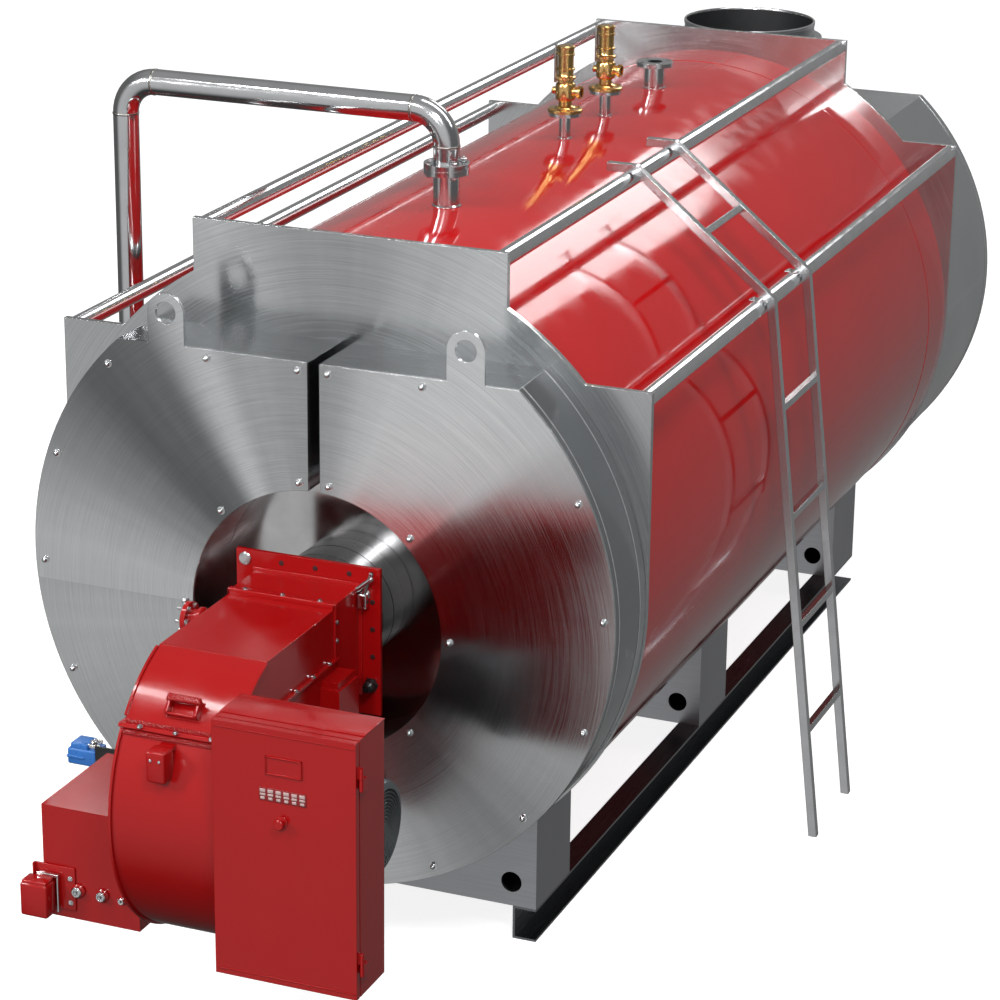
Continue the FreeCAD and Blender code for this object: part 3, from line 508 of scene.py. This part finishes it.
def housing_trim():
    """Folds, strips and screws of the fan housing and its duct."""
    seam_y = low("burner_duct").y
    duct_top = high("burner_duct").z
    house_top = high("fan_housing_upper").z
    red = Shape()
    red.box((-DUCT_X - 0.005, seam_y - 0.020, house_top - 0.004),
            (DUCT_X + 0.005, seam_y + 0.002, duct_top + 0.005), 0.0015)
    for side in (-1, 1):
        x0, x1 = sorted((side * (DUCT_X - 0.002), side * (DUCT_X + 0.006)))
        red.box((x0, seam_y - 0.020, SEAM_Z), (x1, seam_y + 0.002, duct_top + 0.004), 0.0015)
        # rolled rim along both sides of the drum
        drum_band(red, x0, x1, -2.6, 0.62, -0.012, 0.007, 72)
        drum_band(red, x0, x1, 0.70, 1.22, -0.012, 0.005, 16)
    # joint between duct and flange
    red.box((-DUCT_X - 0.010, low("burner_flange").y - 0.007, low("burner_duct").z),
            (DUCT_X + 0.010, low("burner_flange").y, duct_top + 0.010), 0.002)
    red.piece("housing_folds", "red")
    screws = Shape()
    for x in (-0.125, 0.0, 0.125):
        screws.hex_bolt((x, seam_y - 0.009, duct_top + 0.005), (0, 0, 1), 0.0065)
    for z in (0.055, 0.115):
        for side in (-1, 1):
            screws.hex_bolt((side * (DUCT_X + 0.006), seam_y - 0.009, SEAM_Z + z), (side, 0, 0), 0.006)
    for y in (-0.065, -0.180, -0.298, -0.413):
        for side in (-1, 1):
            screws.hex_bolt((side * (DUCT_X + 0.0065), seam_y + y, SEAM_Z), (0, 0, 1), 0.007)
    lip = on_drum(0.60, 0.012)
    for x in (-0.115, 0.0, 0.115):
        screws.hex_bolt((x, lip.y + 0.006, SEAM_Z), (0, -0.25, 1), 0.007)
    screws.piece("housing_screws", "bolt")
    # ribbed gasket strips above and below the seam, over the drum's front
    ribs = Shape()
    count = 46
    for row, angle in enumerate((0.665, 0.600)):
        out = on_drum(angle, 0.006)
        turn = Matrix.Rotation(-angle, 3, "X")
        drum_band(ribs, -0.172, 0.172, angle - 0.016, angle + 0.016, -0.004, 0.005, 2)
        for index in range(count):
            x = -0.168 + 0.336 * index / (count - 1)
            lean = Matrix.Rotation(0.5 if row else -0.5, 3, "Y")
            ribs.box((x - 0.0016, out.y - 0.003, out.z - 0.0065), (x + 0.0016, out.y + 0.003, out.z + 0.0065),
                     0.0008, turn @ lean)
    ribs.piece("housing_gasket", "red")


def front_fittings():
    """The lifting handle and the latch, in place of their plain forms."""
    angle = 0.80
    normal = Vector((0, -math.cos(angle), math.sin(angle)))
    along = Vector((0, math.sin(angle), math.cos(angle)))
    base = on_drum(angle)
    turn = Matrix((Vector((1, 0, 0)), along, normal)).transposed()
    grip = Shape()

    def slab(x, s, h, bevel):
        centre = base + along * (s[0] + s[1]) / 2 + normal * (h[0] + h[1]) / 2
        centre += Vector(((x[0] + x[1]) / 2, 0, 0))
        half = Vector(((x[1] - x[0]) / 2, (s[1] - s[0]) / 2, (h[1] - h[0]) / 2))
        grip.box(centre - half, centre + half, bevel, turn)

    slab((-0.054, 0.054), (-0.032, 0.030), (-0.004, 0.003), 0.002)
    slab((-0.052, -0.040), (-0.028, 0.026), (0.0, 0.030), 0.003)
    slab((0.040, 0.052), (-0.028, 0.026), (0.0, 0.030), 0.003)
    slab((-0.054, 0.054), (0.008, 0.030), (0.024, 0.038), 0.004)
    slab((-0.052, 0.052), (-0.030, -0.022), (0.014, 0.024), 0.003)
    for index in range(15):
        x = -0.049 + 0.098 * index / 14
        slab((x - 0.0015, x + 0.0015), (0.009, 0.029), (0.037, 0.040), 0.0008)
    item = grip.piece("handle_form", "red")
    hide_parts("housing_handle")
    lo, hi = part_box("housing_latch")
    latch = Shape()
    latch.box((lo.x, lo.y, lo.z), (hi.x, lo.y + 0.060, hi.z), 0.007)
    latch.box((lo.x + 0.006, lo.y + 0.02, hi.z - 0.02), (hi.x - 0.006, lo.y + 0.14, hi.z - 0.004), 0.003)
    latch.box((lo.x + 0.004, lo.y + 0.02, lo.z + 0.004), (hi.x - 0.004, lo.y + 0.050, hi.z - 0.006), 0.003)
    item = latch.piece("latch_form", "red")
    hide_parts("housing_latch")
    pins = Shape()
    for x in (lo.x + 0.016, hi.x - 0.016):
        pins.lathe([(0.0045, 0), (0.0045, 0.002), (0.003, 0.0032)], (x, lo.y, hi.z - 0.026), (0, -1, 0), 16)
    pins.piece("latch_pins", "bolt")


def gas_trim():
    """Six bolts through the gas flange, and a ring where its pipe enters the housing."""
    lo = low("gas_inlet")
    axis = middle("gas_inlet")
    bolt_circle = 0.040
    bolt_size = 0.0085
    bolts = Shape()
    for index in range(6):
        turn = math.radians(60 * index)
        spot = Vector((lo.x, axis.y + bolt_circle * math.cos(turn), axis.z + bolt_circle * math.sin(turn)))
        bolts.hex_bolt(spot, (-1, 0, 0), bolt_size)
        bolts.rod(spot, spot + Vector((-0.022, 0, 0)), 0.0045, 14, 0.001)
        bolts.hex_bolt(spot + Vector((0.016, 0, 0)), (1, 0, 0), bolt_size)
    bolts.piece("gas_flange_bolts", "bolt")
    ring = Shape()
    ring.lathe([(0.040, 0), (0.040, 0.010), (0.034, 0.016), (0.030, 0.016)], (lo.x + 0.045, axis.y, axis.z),
               (1, 0, 0), 32)
    ring.piece("gas_pipe_ring", "red")


# ---------------------------------------------------------------- cabinet trim


def cabinet_trim():
    """The door's window frame, knob, lips and buttons, and the cap of the fixed body."""
    lo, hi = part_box("cabinet_door")
    body_lo, body_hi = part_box("cabinet_body")
    face = lo.y
    # blank window frame
    frame_lo = Vector((0.342, face, 1.072))
    frame_hi = Vector((0.456, face, 1.128))
    red = Shape()
    bar = 0.004
    proud = face - 0.0045
    sunk = face + 0.001
    red.box((frame_lo.x, proud, frame_hi.z - bar), (frame_hi.x, sunk, frame_hi.z), 0.001)
    red.box((frame_lo.x, proud, frame_lo.z), (frame_hi.x, sunk, frame_lo.z + bar), 0.001)
    red.box((frame_lo.x, proud, frame_lo.z), (frame_lo.x + bar, sunk, frame_hi.z), 0.001)
    red.box((frame_hi.x - bar, proud, frame_lo.z), (frame_hi.x, sunk, frame_hi.z), 0.001)
    red.box((frame_lo.x + bar, face - 0.001, frame_lo.z + bar), (frame_hi.x - bar, sunk, frame_hi.z - bar))
    # knob
    red.lathe([(0.019, 0), (0.019, 0.003), (0.012, 0.005), (0.012, 0.011), (0.0155, 0.013), (0.0155, 0.022),
               (0.013, 0.025)], (0.391, face, 0.931), (0, -1, 0), 32)
    # folded lips across the door, near its top and foot
    lip = 0.0018
    for z0, z1 in ((hi.z - 0.020, hi.z - 0.0165), (lo.z + 0.0165, lo.z + 0.020)):
        red.box((lo.x + 0.004, face - lip, z0), (DOOR_RIGHT - 0.004, sunk, z1), 0.0007)
    red.piece("door_trim", "red", "door")
    buttons = Shape()
    for index in range(6):
        x = 0.334 + 0.0245 * index
        for drop, height, width in ((0.0, 0.010, 0.0085), (0.013, 0.007, 0.0085), (0.0235, 0.008, 0.0065)):
            z = 1.026 - drop
            buttons.box((x - width, proud, z - height), (x + width, sunk, z), 0.0015)
    buttons.piece("door_buttons", "button", "door")
    dark = Shape()
    dark.box((0.322, face - 0.0016, 0.990), (0.469, sunk, 1.030), 0.001)
    dark.piece("door_button_plate", "shade_red", "door")
    # thin cap on the fixed body
    cap = Shape()
    cap.box((body_lo.x - 0.002, body_lo.y + 0.050, body_hi.z),
            (DOOR_RIGHT + 0.002, body_hi.y + 0.002, body_hi.z + 0.003), 0.001)
    cap.piece("cabinet_cap", "red")


# ---------------------------------------------------------------- air inlet trim


def intake_trim():
    """Plugs, servo and damper drive of the air intake."""
    lo = low("air_intake_box")
    plugs = Shape()
    collars = Shape()
    for x, size in ((-0.4405, 0.017), (-0.358, 0.016), (-0.288, 0.011)):
        spot = Vector((x, lo.y, lo.z + 0.098))
        collars.lathe([(size * 1.35, 0), (size * 1.35, 0.006), (size * 1.1, 0.009)], spot, (0, -1, 0), 24)
        plugs.lathe([(size, 0.008), (size, 0.018), (size * 0.8, 0.021), (size * 0.55, 0.021),
                     (size * 0.5, 0.015)], spot, (0, -1, 0), 24)
        plugs.rod(spot + Vector((0, -0.012, 0)), spot + Vector((0, -0.026, 0)), size * 0.3, 14, 0.001)
    collars.piece("intake_collars", "red")
    plugs.piece("intake_plugs", "bolt")
    # servo
    s_lo = low("air_servo")
    body_x = s_lo.x + 0.092
    face_y = lo.y - 0.006
    body_z = s_lo.z
    servo = Shape()
    servo.box((s_lo.x, s_lo.y, body_z), (body_x, face_y - 0.012, body_z + 0.108), 0.007)
    servo.box((s_lo.x + 0.004, s_lo.y + 0.004, body_z + 0.100),
              (body_x - 0.004, face_y - 0.014, body_z + 0.118), 0.006)
    servo.box((lo.x - 0.030, face_y, body_z + 0.008), (lo.x + 0.110, lo.y, body_z + 0.150), 0.002)
    servo.box((lo.x - 0.030, face_y - 0.010, body_z + 0.008),
              (lo.x - 0.024, face_y + 0.004, body_z + 0.150), 0.001)
    item = servo.piece("servo_form", "red")
    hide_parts("air_servo")
    silver = Shape()
    silver.box((s_lo.x + 0.030, face_y - 0.020, body_z + 0.117),
               (body_x + 0.012, face_y - 0.004, body_z + 0.128), 0.002)
    silver.rod((body_x + 0.007, face_y - 0.014, body_z + 0.004),
               (body_x + 0.007, face_y - 0.014, body_z + 0.128), 0.0040, 14, 0.001)
    for z in (0.035, 0.115):
        silver.hex_bolt((lo.x + 0.094, face_y, body_z + z), (0, -1, 0), 0.0065)
    silver.piece("servo_clamp", "bolt")
    # damper drive
    d_lo, d_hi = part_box("damper_drive")
    drive = Shape()
    drive.box(d_lo, Vector((d_hi.x, d_hi.y, d_hi.z - 0.022)), 0.005)
    drive.box((d_lo.x + 0.010, d_lo.y + 0.004, d_hi.z - 0.030),
              (d_hi.x - 0.030, d_hi.y - 0.004, d_hi.z - 0.004), 0.004)
    drive.box((d_lo.x - 0.002, d_lo.y - 0.003, d_lo.z + 0.022),
              (d_lo.x + 0.060, d_lo.y + 0.004, d_lo.z + 0.030), 0.001)
    item = drive.piece("drive_form", "blue")
    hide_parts("damper_drive")
    clamp = Shape()
    mid_y = (d_lo.y + d_hi.y) / 2
    clamp.lathe([(0.020, 0), (0.020, 0.006), (0.012, 0.010), (0.012, 0.020), (0.009, 0.023)],
                (d_hi.x - 0.026, mid_y, d_hi.z - 0.024), (0, 0, 1), 20)
    for y0, y1 in ((mid_y - 0.026, mid_y - 0.018), (mid_y + 0.018, mid_y + 0.026)):
        clamp.box((d_hi.x - 0.046, y0, d_hi.z - 0.016), (d_hi.x - 0.006, y1, d_hi.z - 0.004), 0.002)
    clamp.rod((d_hi.x - 0.010, mid_y, d_hi.z - 0.030), (lo.x + 0.01, mid_y, d_hi.z - 0.030), 0.008, 16, 0.001)
    clamp.piece("drive_clamp", "bolt")


# ---------------------------------------------------------------- fan motor


def motor_form():
    """The finned motor and its ringed guard, in place of their plain forms."""
    lo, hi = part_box("fan_motor")
    g_lo = low("motor_guard")
    centre = Vector((0, (lo.y + hi.y) / 2, (lo.z + hi.z) / 2))
    radius = 0.125
    axis = Vector((1, 0, 0))
    body = Shape()
    body.lathe([(radius * 0.82, 0.016), (radius * 0.82, hi.x - lo.x)], (lo.x, centre.y, centre.z), axis, 48)
    body.lathe([(0.145, 0), (0.145, 0.014), (0.139, 0.018), (0.110, 0.020)],
               (lo.x, centre.y, centre.z), axis, 64)
    for index in range(36):
        angle = math.radians(10 * index)
        if 60 < (10 * index) % 360 < 120:
            continue
        out = Vector((0, math.cos(angle), math.sin(angle)))
        spot = Vector((lo.x + 0.125, centre.y, centre.z)) + out * radius * 0.90
        body.box(spot - Vector((0.095, 0.0022, 0.013)), spot + Vector((0.095, 0.0022, 0.013)), 0.0008,
                 Matrix.Rotation(angle - math.pi / 2, 3, "X"))
    body.box((lo.x + 0.070, centre.y - 0.052, centre.z + 0.085),
             (lo.x + 0.175, centre.y + 0.052, hi.z - 0.006), 0.006)
    item = body.piece("motor_form", "motor")
    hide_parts("fan_motor")
    guard = Shape()
    guard.lathe([(0.136, 0.0), (0.1445, 0.0), (0.1445, 0.048), (0.138, 0.060), (0.120, 0.066), (0.120, 0.064),
                 (0.134, 0.058), (0.136, 0.046)], (g_lo.x, centre.y, centre.z), axis, 64, False)
    for ring in range(10):
        size = 0.022 + 0.0108 * ring
        inner, outer = size - 0.0016, size + 0.0016
        guard.lathe([(inner, 0.062), (outer, 0.062), (outer, 0.066), (inner, 0.066), (inner, 0.062)],
                    (g_lo.x, centre.y, centre.z), axis, 48, False)
    for index in range(40):
        angle = math.radians(9 * index)
        out = Vector((0, math.cos(angle), math.sin(angle)))
        base = Vector((g_lo.x + 0.062, centre.y, centre.z))
        guard.rod(base + out * 0.016, base + out * 0.124, 0.0014, 8)
    guard.lathe([(0.018, 0.060), (0.018, 0.068), (0.014, 0.069)], (g_lo.x, centre.y, centre.z), axis, 24)
    item = guard.piece("guard_form", "grill")
    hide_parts("motor_guard")
    blade = Shape()
    blade.lathe([(0.118, 0.040), (0.118, 0.044)], (g_lo.x, centre.y, centre.z), axis, 48)
    blade.piece("guard_inside", "black")


# ---------------------------------------------------------------- top fittings


def safety_valves():
    """Brass pop valves: flange, body with its side outlet, spring bonnet, cap and easing lever."""
    for word in ("front", "rear"):
        node = "safety_valve_" + word
        lo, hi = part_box(node)
        y = (lo.y + hi.y) / 2
        foot = Vector((0, y, lo.z))
        tall = hi.z - lo.z
        brass = Shape()
        body = [(0.054, 0), (0.063, 0.002), (0.063, 0.012), (0.060, 0.014), (0.040, 0.015),
                (0.036, 0.020), (0.024, 0.024), (0.024, 0.040), (0.034, 0.046), (0.036, 0.052),
                (0.036, 0.098), (0.033, 0.104), (0.028, 0.106), (0.028, 0.118), (0.036, 0.120),
                (0.0365, 0.128), (0.030, 0.131), (0.0275, 0.136), (0.0275, 0.150), (0.033, 0.152),
                (0.033, 0.158), (0.0275, 0.160)]
        cap = [(0.0275, 0.038), (0.0315, 0.036), (0.0315, 0.030), (0.029, 0.028), (0.029, 0.012),
               (0.0315, 0.010), (0.0315, 0.004), (0.028, 0.001), (0.014, 0.001)]
        brass.lathe(body + [(reach, tall - drop) for reach, drop in cap], foot, UP, 48)
        out = foot + Vector((0.030, 0, 0.075))
        brass.lathe([(0.017, -0.004), (0.019, 0.0), (0.0175, 0.006), (0.0175, 0.016), (0.023, 0.018),
                     (0.024, 0.030), (0.022, 0.0315), (0.0165, 0.0315), (0.0155, 0.022),
                     (0.0155, 0.006)], out, (1, 0, 0), 32, False)
        brass.lathe([(0.026, 0.108), (0.030, 0.109), (0.030, 0.116), (0.026, 0.117)], foot, UP, 6)
        brass.rod(foot + Vector((-0.030, 0, 0.075)), foot + Vector((-0.050, 0, 0.075)), 0.013, 20, 0.003)
        for index in range(4):
            angle = math.radians(45 + 90 * index)
            spot = foot + Vector((0.050 * math.cos(angle), 0.050 * math.sin(angle), 0.013))
            brass.hex_bolt(spot, UP, 0.006)
        item = brass.piece("valve_form_" + word, "brass")
        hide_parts(node)
        lever = Shape()
        lever.box((-0.042, y - 0.011, lo.z + 0.104), (-0.033, y + 0.011, hi.z - 0.003), 0.003)
        lever.box((-0.042, y - 0.007, hi.z - 0.014), (0.006, y + 0.007, hi.z - 0.002), 0.002)
        lever.box((-0.040, y - 0.006, lo.z + 0.120), (-0.020, y + 0.006, lo.z + 0.130), 0.002)
        lever.piece("valve_lever_" + word, "grey")


def flange_bolts():
    """Studs and nuts of the steam joint, and weld beads on the stubs and the steam pipe."""
    joint = high("steam_nozzle").z
    y = middle("steam_nozzle").y
    bolt_circle = 0.060
    nut = 0.011
    studs = Shape()
    for index in range(4):
        angle = math.radians(45 + 90 * index)
        spot = Vector((bolt_circle * math.cos(angle), y + bolt_circle * math.sin(angle), joint + 0.018))
        studs.hex_bolt(spot, UP, nut)
        studs.rod(spot, spot + Vector((0, 0, 0.016)), 0.0055, 14, 0.001)
        studs.hex_bolt(spot - Vector((0, 0, 0.036)), (0, 0, -1), nut)
    studs.piece("steam_joint_bolts", "bolt")
    beads = Shape()
    for node, radius in (("valve_stub_front", 0.021), ("valve_stub_rear", 0.021), ("steam_nozzle", 0.044),
                         ("spare_nozzle", 0.039)):
        spot = middle(node)
        beads.lathe([(radius - 0.001, 0.006), (radius + 0.005, 0.0), (radius + 0.005, -0.004),
                     (radius - 0.001, -0.006)], (spot.x, spot.y, AXIS_Z + SHELL_R + 0.002), UP, 40)
    beads.piece("nozzle_weld_beads", "tube")
    # weld seams on the steam pipe where its bends begin and end
    seams = Shape()
    lo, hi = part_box("steam_pipe")
    pipe_r = 0.044
    bend = 0.115
    run_z = hi.z - pipe_r
    drop_x = lo.x + 0.076
    for spot, axis in (((0, y, run_z - bend), (0, 0, 1)), ((-bend, y, run_z), (1, 0, 0)),
                       ((drop_x + bend, y, run_z), (1, 0, 0)), ((drop_x, y, run_z - bend), (0, 0, 1))):
        seams.lathe([(pipe_r, -0.004), (0.0455, -0.0025), (0.0460, 0), (0.0455, 0.0025),
                     (pipe_r, 0.004)], spot, axis, 48)
    seams.piece("steam_pipe_seams", "grey")


def flue_trim():
    """The lining and the rolled rim of the flue collar."""
    lo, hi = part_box("flue_collar")
    centre = (lo + hi) / 2
    top = hi.z
    # a near-black sheet just inside the collar's wall
    inner = Shape()
    inner.lathe([(0.2595, top - 0.33), (0.2595, top - 0.004), (0.2590, top - 0.004), (0.2590, top - 0.33)],
                (centre.x, centre.y, 0), UP, 96, False)
    inner.piece("flue_lining", "near_black_lining")
    rim = Shape()
    rim.lathe([(0.2600, top - 0.008), (0.2600, top + 0.001), (0.2620, top + 0.004), (0.2680, top + 0.004),
               (0.2705, top + 0.001), (0.2705, top - 0.010), (0.2680, top - 0.012)],
              (centre.x, centre.y, 0), UP, 96, False)
    rim.piece("flue_rim", "bolt")


def shell_seams():
    """Thin seam rings near both ends of the shell."""
    ring = Shape()
    for y in (low("boiler_shell").y + 0.012, high("boiler_shell").y - 0.235):
        ring.lathe([(SHELL_R - 0.002, -0.004), (SHELL_R + 0.0012, -0.003), (SHELL_R + 0.0012, 0.003),
                    (SHELL_R - 0.002, 0.004)], (0, y, AXIS_Z), (0, 1, 0), 160, False)
    ring.piece("shell_seam_rings", "shell")


def box_seams():
    """Standing seams round both smokeboxes, near their covers."""
    inset = 0.028
    proud = 0.0016
    steps = 96
    for node in ("front_smokebox", "rear_smokebox"):
        lo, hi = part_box(node)
        half = hi.x
        flat = hi.z - AXIS_Z
        edge = math.asin(flat / half)
        for word, y in (("near", lo.y + inset), ("far", hi.y - inset)):
            seam = Shape()
            start, end = -math.pi - edge, edge
            for index in range(steps):
                one = start + (end - start) * index / steps
                two = start + (end - start) * (index + 1) / steps
                rows = []
                for angle in (one, two):
                    c, s = math.cos(angle), math.sin(angle)
                    rows.append([seam.mesh.verts.new((reach * c, y + dy, AXIS_Z + reach * s))
                                 for reach, dy in ((half - 0.001, -0.0035), (half + proud, -0.002),
                                                   (half + proud, 0.002), (half - 0.001, 0.0035))])
                for here in range(3):
                    seam.mesh.faces.new((rows[0][here], rows[0][here + 1], rows[1][here + 1], rows[1][here]))
            seam.piece("%s_seam_%s" % (node, word), "edge")


def ladder_trim():
    """Tabs and bolts that hold the ladder to the lower rail."""
    tabs = Shape()
    rail = middle("lower_rail_right")
    for node in ("ladder_stile_front", "ladder_stile_rear"):
        y = middle(node).y
        tabs.box((rail.x - 0.032, y - 0.020, rail.z + 0.022),
                 (rail.x + 0.036, y + 0.020, rail.z + 0.027), 0.001)
        tabs.hex_bolt((rail.x - 0.018, y, rail.z + 0.027), UP, 0.006)
    tabs.piece("ladder_tabs", "ladder")


# ---------------------------------------------------------------- stage and light


def make_stage():
    """A pale floor and a wall far behind it; neither shows in reflections."""
    n = Nodes("pale_floor")
    spot = n.position()
    n.set(Base_Color=n.mix(n.noise(spot, 2, 2), (0.50, 0.50, 0.50, 1), (0.54, 0.54, 0.54, 1)),
          Roughness=0.9, Emission_Color=(1, 1, 1, 1), Emission_Strength=0.85)
    half, wall_height = 60, 60
    floor = bmesh.new()
    bmesh.ops.create_grid(floor, x_segments=1, y_segments=1, size=half)
    wall = bmesh.new()
    bmesh.ops.create_cone(wall, cap_ends=False, segments=96, radius1=half - 2, radius2=half - 2,
                          depth=wall_height, matrix=Matrix.Translation((0, 0, wall_height / 2 - 0.1)))
    for name, mesh in (("floor", floor), ("backdrop", wall)):
        data = bpy.data.meshes.new(name)
        mesh.to_mesh(data)
        mesh.free()
        data.materials.append(n.material)
        item = bpy.data.objects.new(name, data)
        bpy.context.scene.collection.objects.link(item)
        item.visible_glossy = False
        item.visible_diffuse = False
        item.visible_shadow = name == "floor"


def area_light(name, spot, aim, size, power, size_y=None):
    data = bpy.data.lights.new(name, "AREA")
    data.energy = power
    data.size = size
    if size_y:
        data.shape = "RECTANGLE"
        data.size_y = size_y
    light = bpy.data.objects.new(name, data)
    spot, aim = Vector(spot), Vector(aim)
    light.location = spot
    light.rotation_euler = (aim - spot).to_track_quat("-Z", "Y").to_euler()
    bpy.context.scene.collection.objects.link(light)
    return light


def make_light():
    """Soft lights, and a dim room that is brighter overhead and ahead of the burner."""
    world = bpy.data.worlds.new("studio")
    bpy.context.scene.world = world
    world.use_nodes = True
    tree = world.node_tree
    back = tree.nodes["Background"]
    coords = tree.nodes.new("ShaderNodeTexCoord")
    split = tree.nodes.new("ShaderNodeSeparateXYZ")
    tree.links.new(coords.outputs["Generated"], split.inputs[0])

    def span(value, old_low, old_high, new_low, new_high):
        node = tree.nodes.new("ShaderNodeMapRange")
        node.interpolation_type = "SMOOTHSTEP"
        ends = {"From Min": old_low, "From Max": old_high, "To Min": new_low, "To Max": new_high}
        for key, number in ends.items():
            node.inputs[key].default_value = number
        tree.links.new(value, node.inputs["Value"])
        return node.outputs[0]

    def maths(operation, one, two):
        node = tree.nodes.new("ShaderNodeMath")
        node.operation = operation
        tree.links.new(one, node.inputs[0])
        tree.links.new(two, node.inputs[1])
        return node.outputs[0]

    height = span(split.outputs[2], -0.9, 0.2, 0.05, 0.16)
    sky = span(split.outputs[2], 0.35, 0.95, 0.0, 0.22)
    ahead = span(split.outputs[1], -0.35, -0.85, 0.0, 0.48)
    behind = span(split.outputs[1], 0.55, 0.95, 0.0, 0.13)
    level = maths("ADD", maths("ADD", height, sky), maths("ADD", ahead, behind))
    tree.links.new(level, back.inputs[0])
    back.inputs[1].default_value = 1.0
    area_light("key", (4, -7, 8), (0, -0.5, 1), 2, 380)
    area_light("front_strip", (1.3, -11, 6.5), (0, -1.7, 1.2), 1.2, 340)
    area_light("left_strip", (-6.6, -7.6, 5.6), (0, -1.7, 1.2), 1.4, 430)
    area_light("front_overhead", (-2.1, -4.8, 6.6), (0, -2.5, 1.2), 3.0, 130, 0.45)
    area_light("top_softbox", (2.2, 0.6, 6.0), (0.4, 0.3, 1.8), 1.0, 110, 6.0)
    area_light("rear_softbox", (0.4, 10, 7.5), (0, 0, 2.0), 3.6, 170, 3.0)


make_camera()
finish_nodes()
cover_nuts()
burner_trim()
housing_trim()
front_fittings()
gas_trim()
cabinet_trim()
intake_trim()
motor_form()
safety_valves()
flange_bolts()
flue_trim()
shell_seams()
box_seams()
ladder_trim()
make_stage()
make_light()
bpy.context.scene.view_settings.view_transform = "Standard"
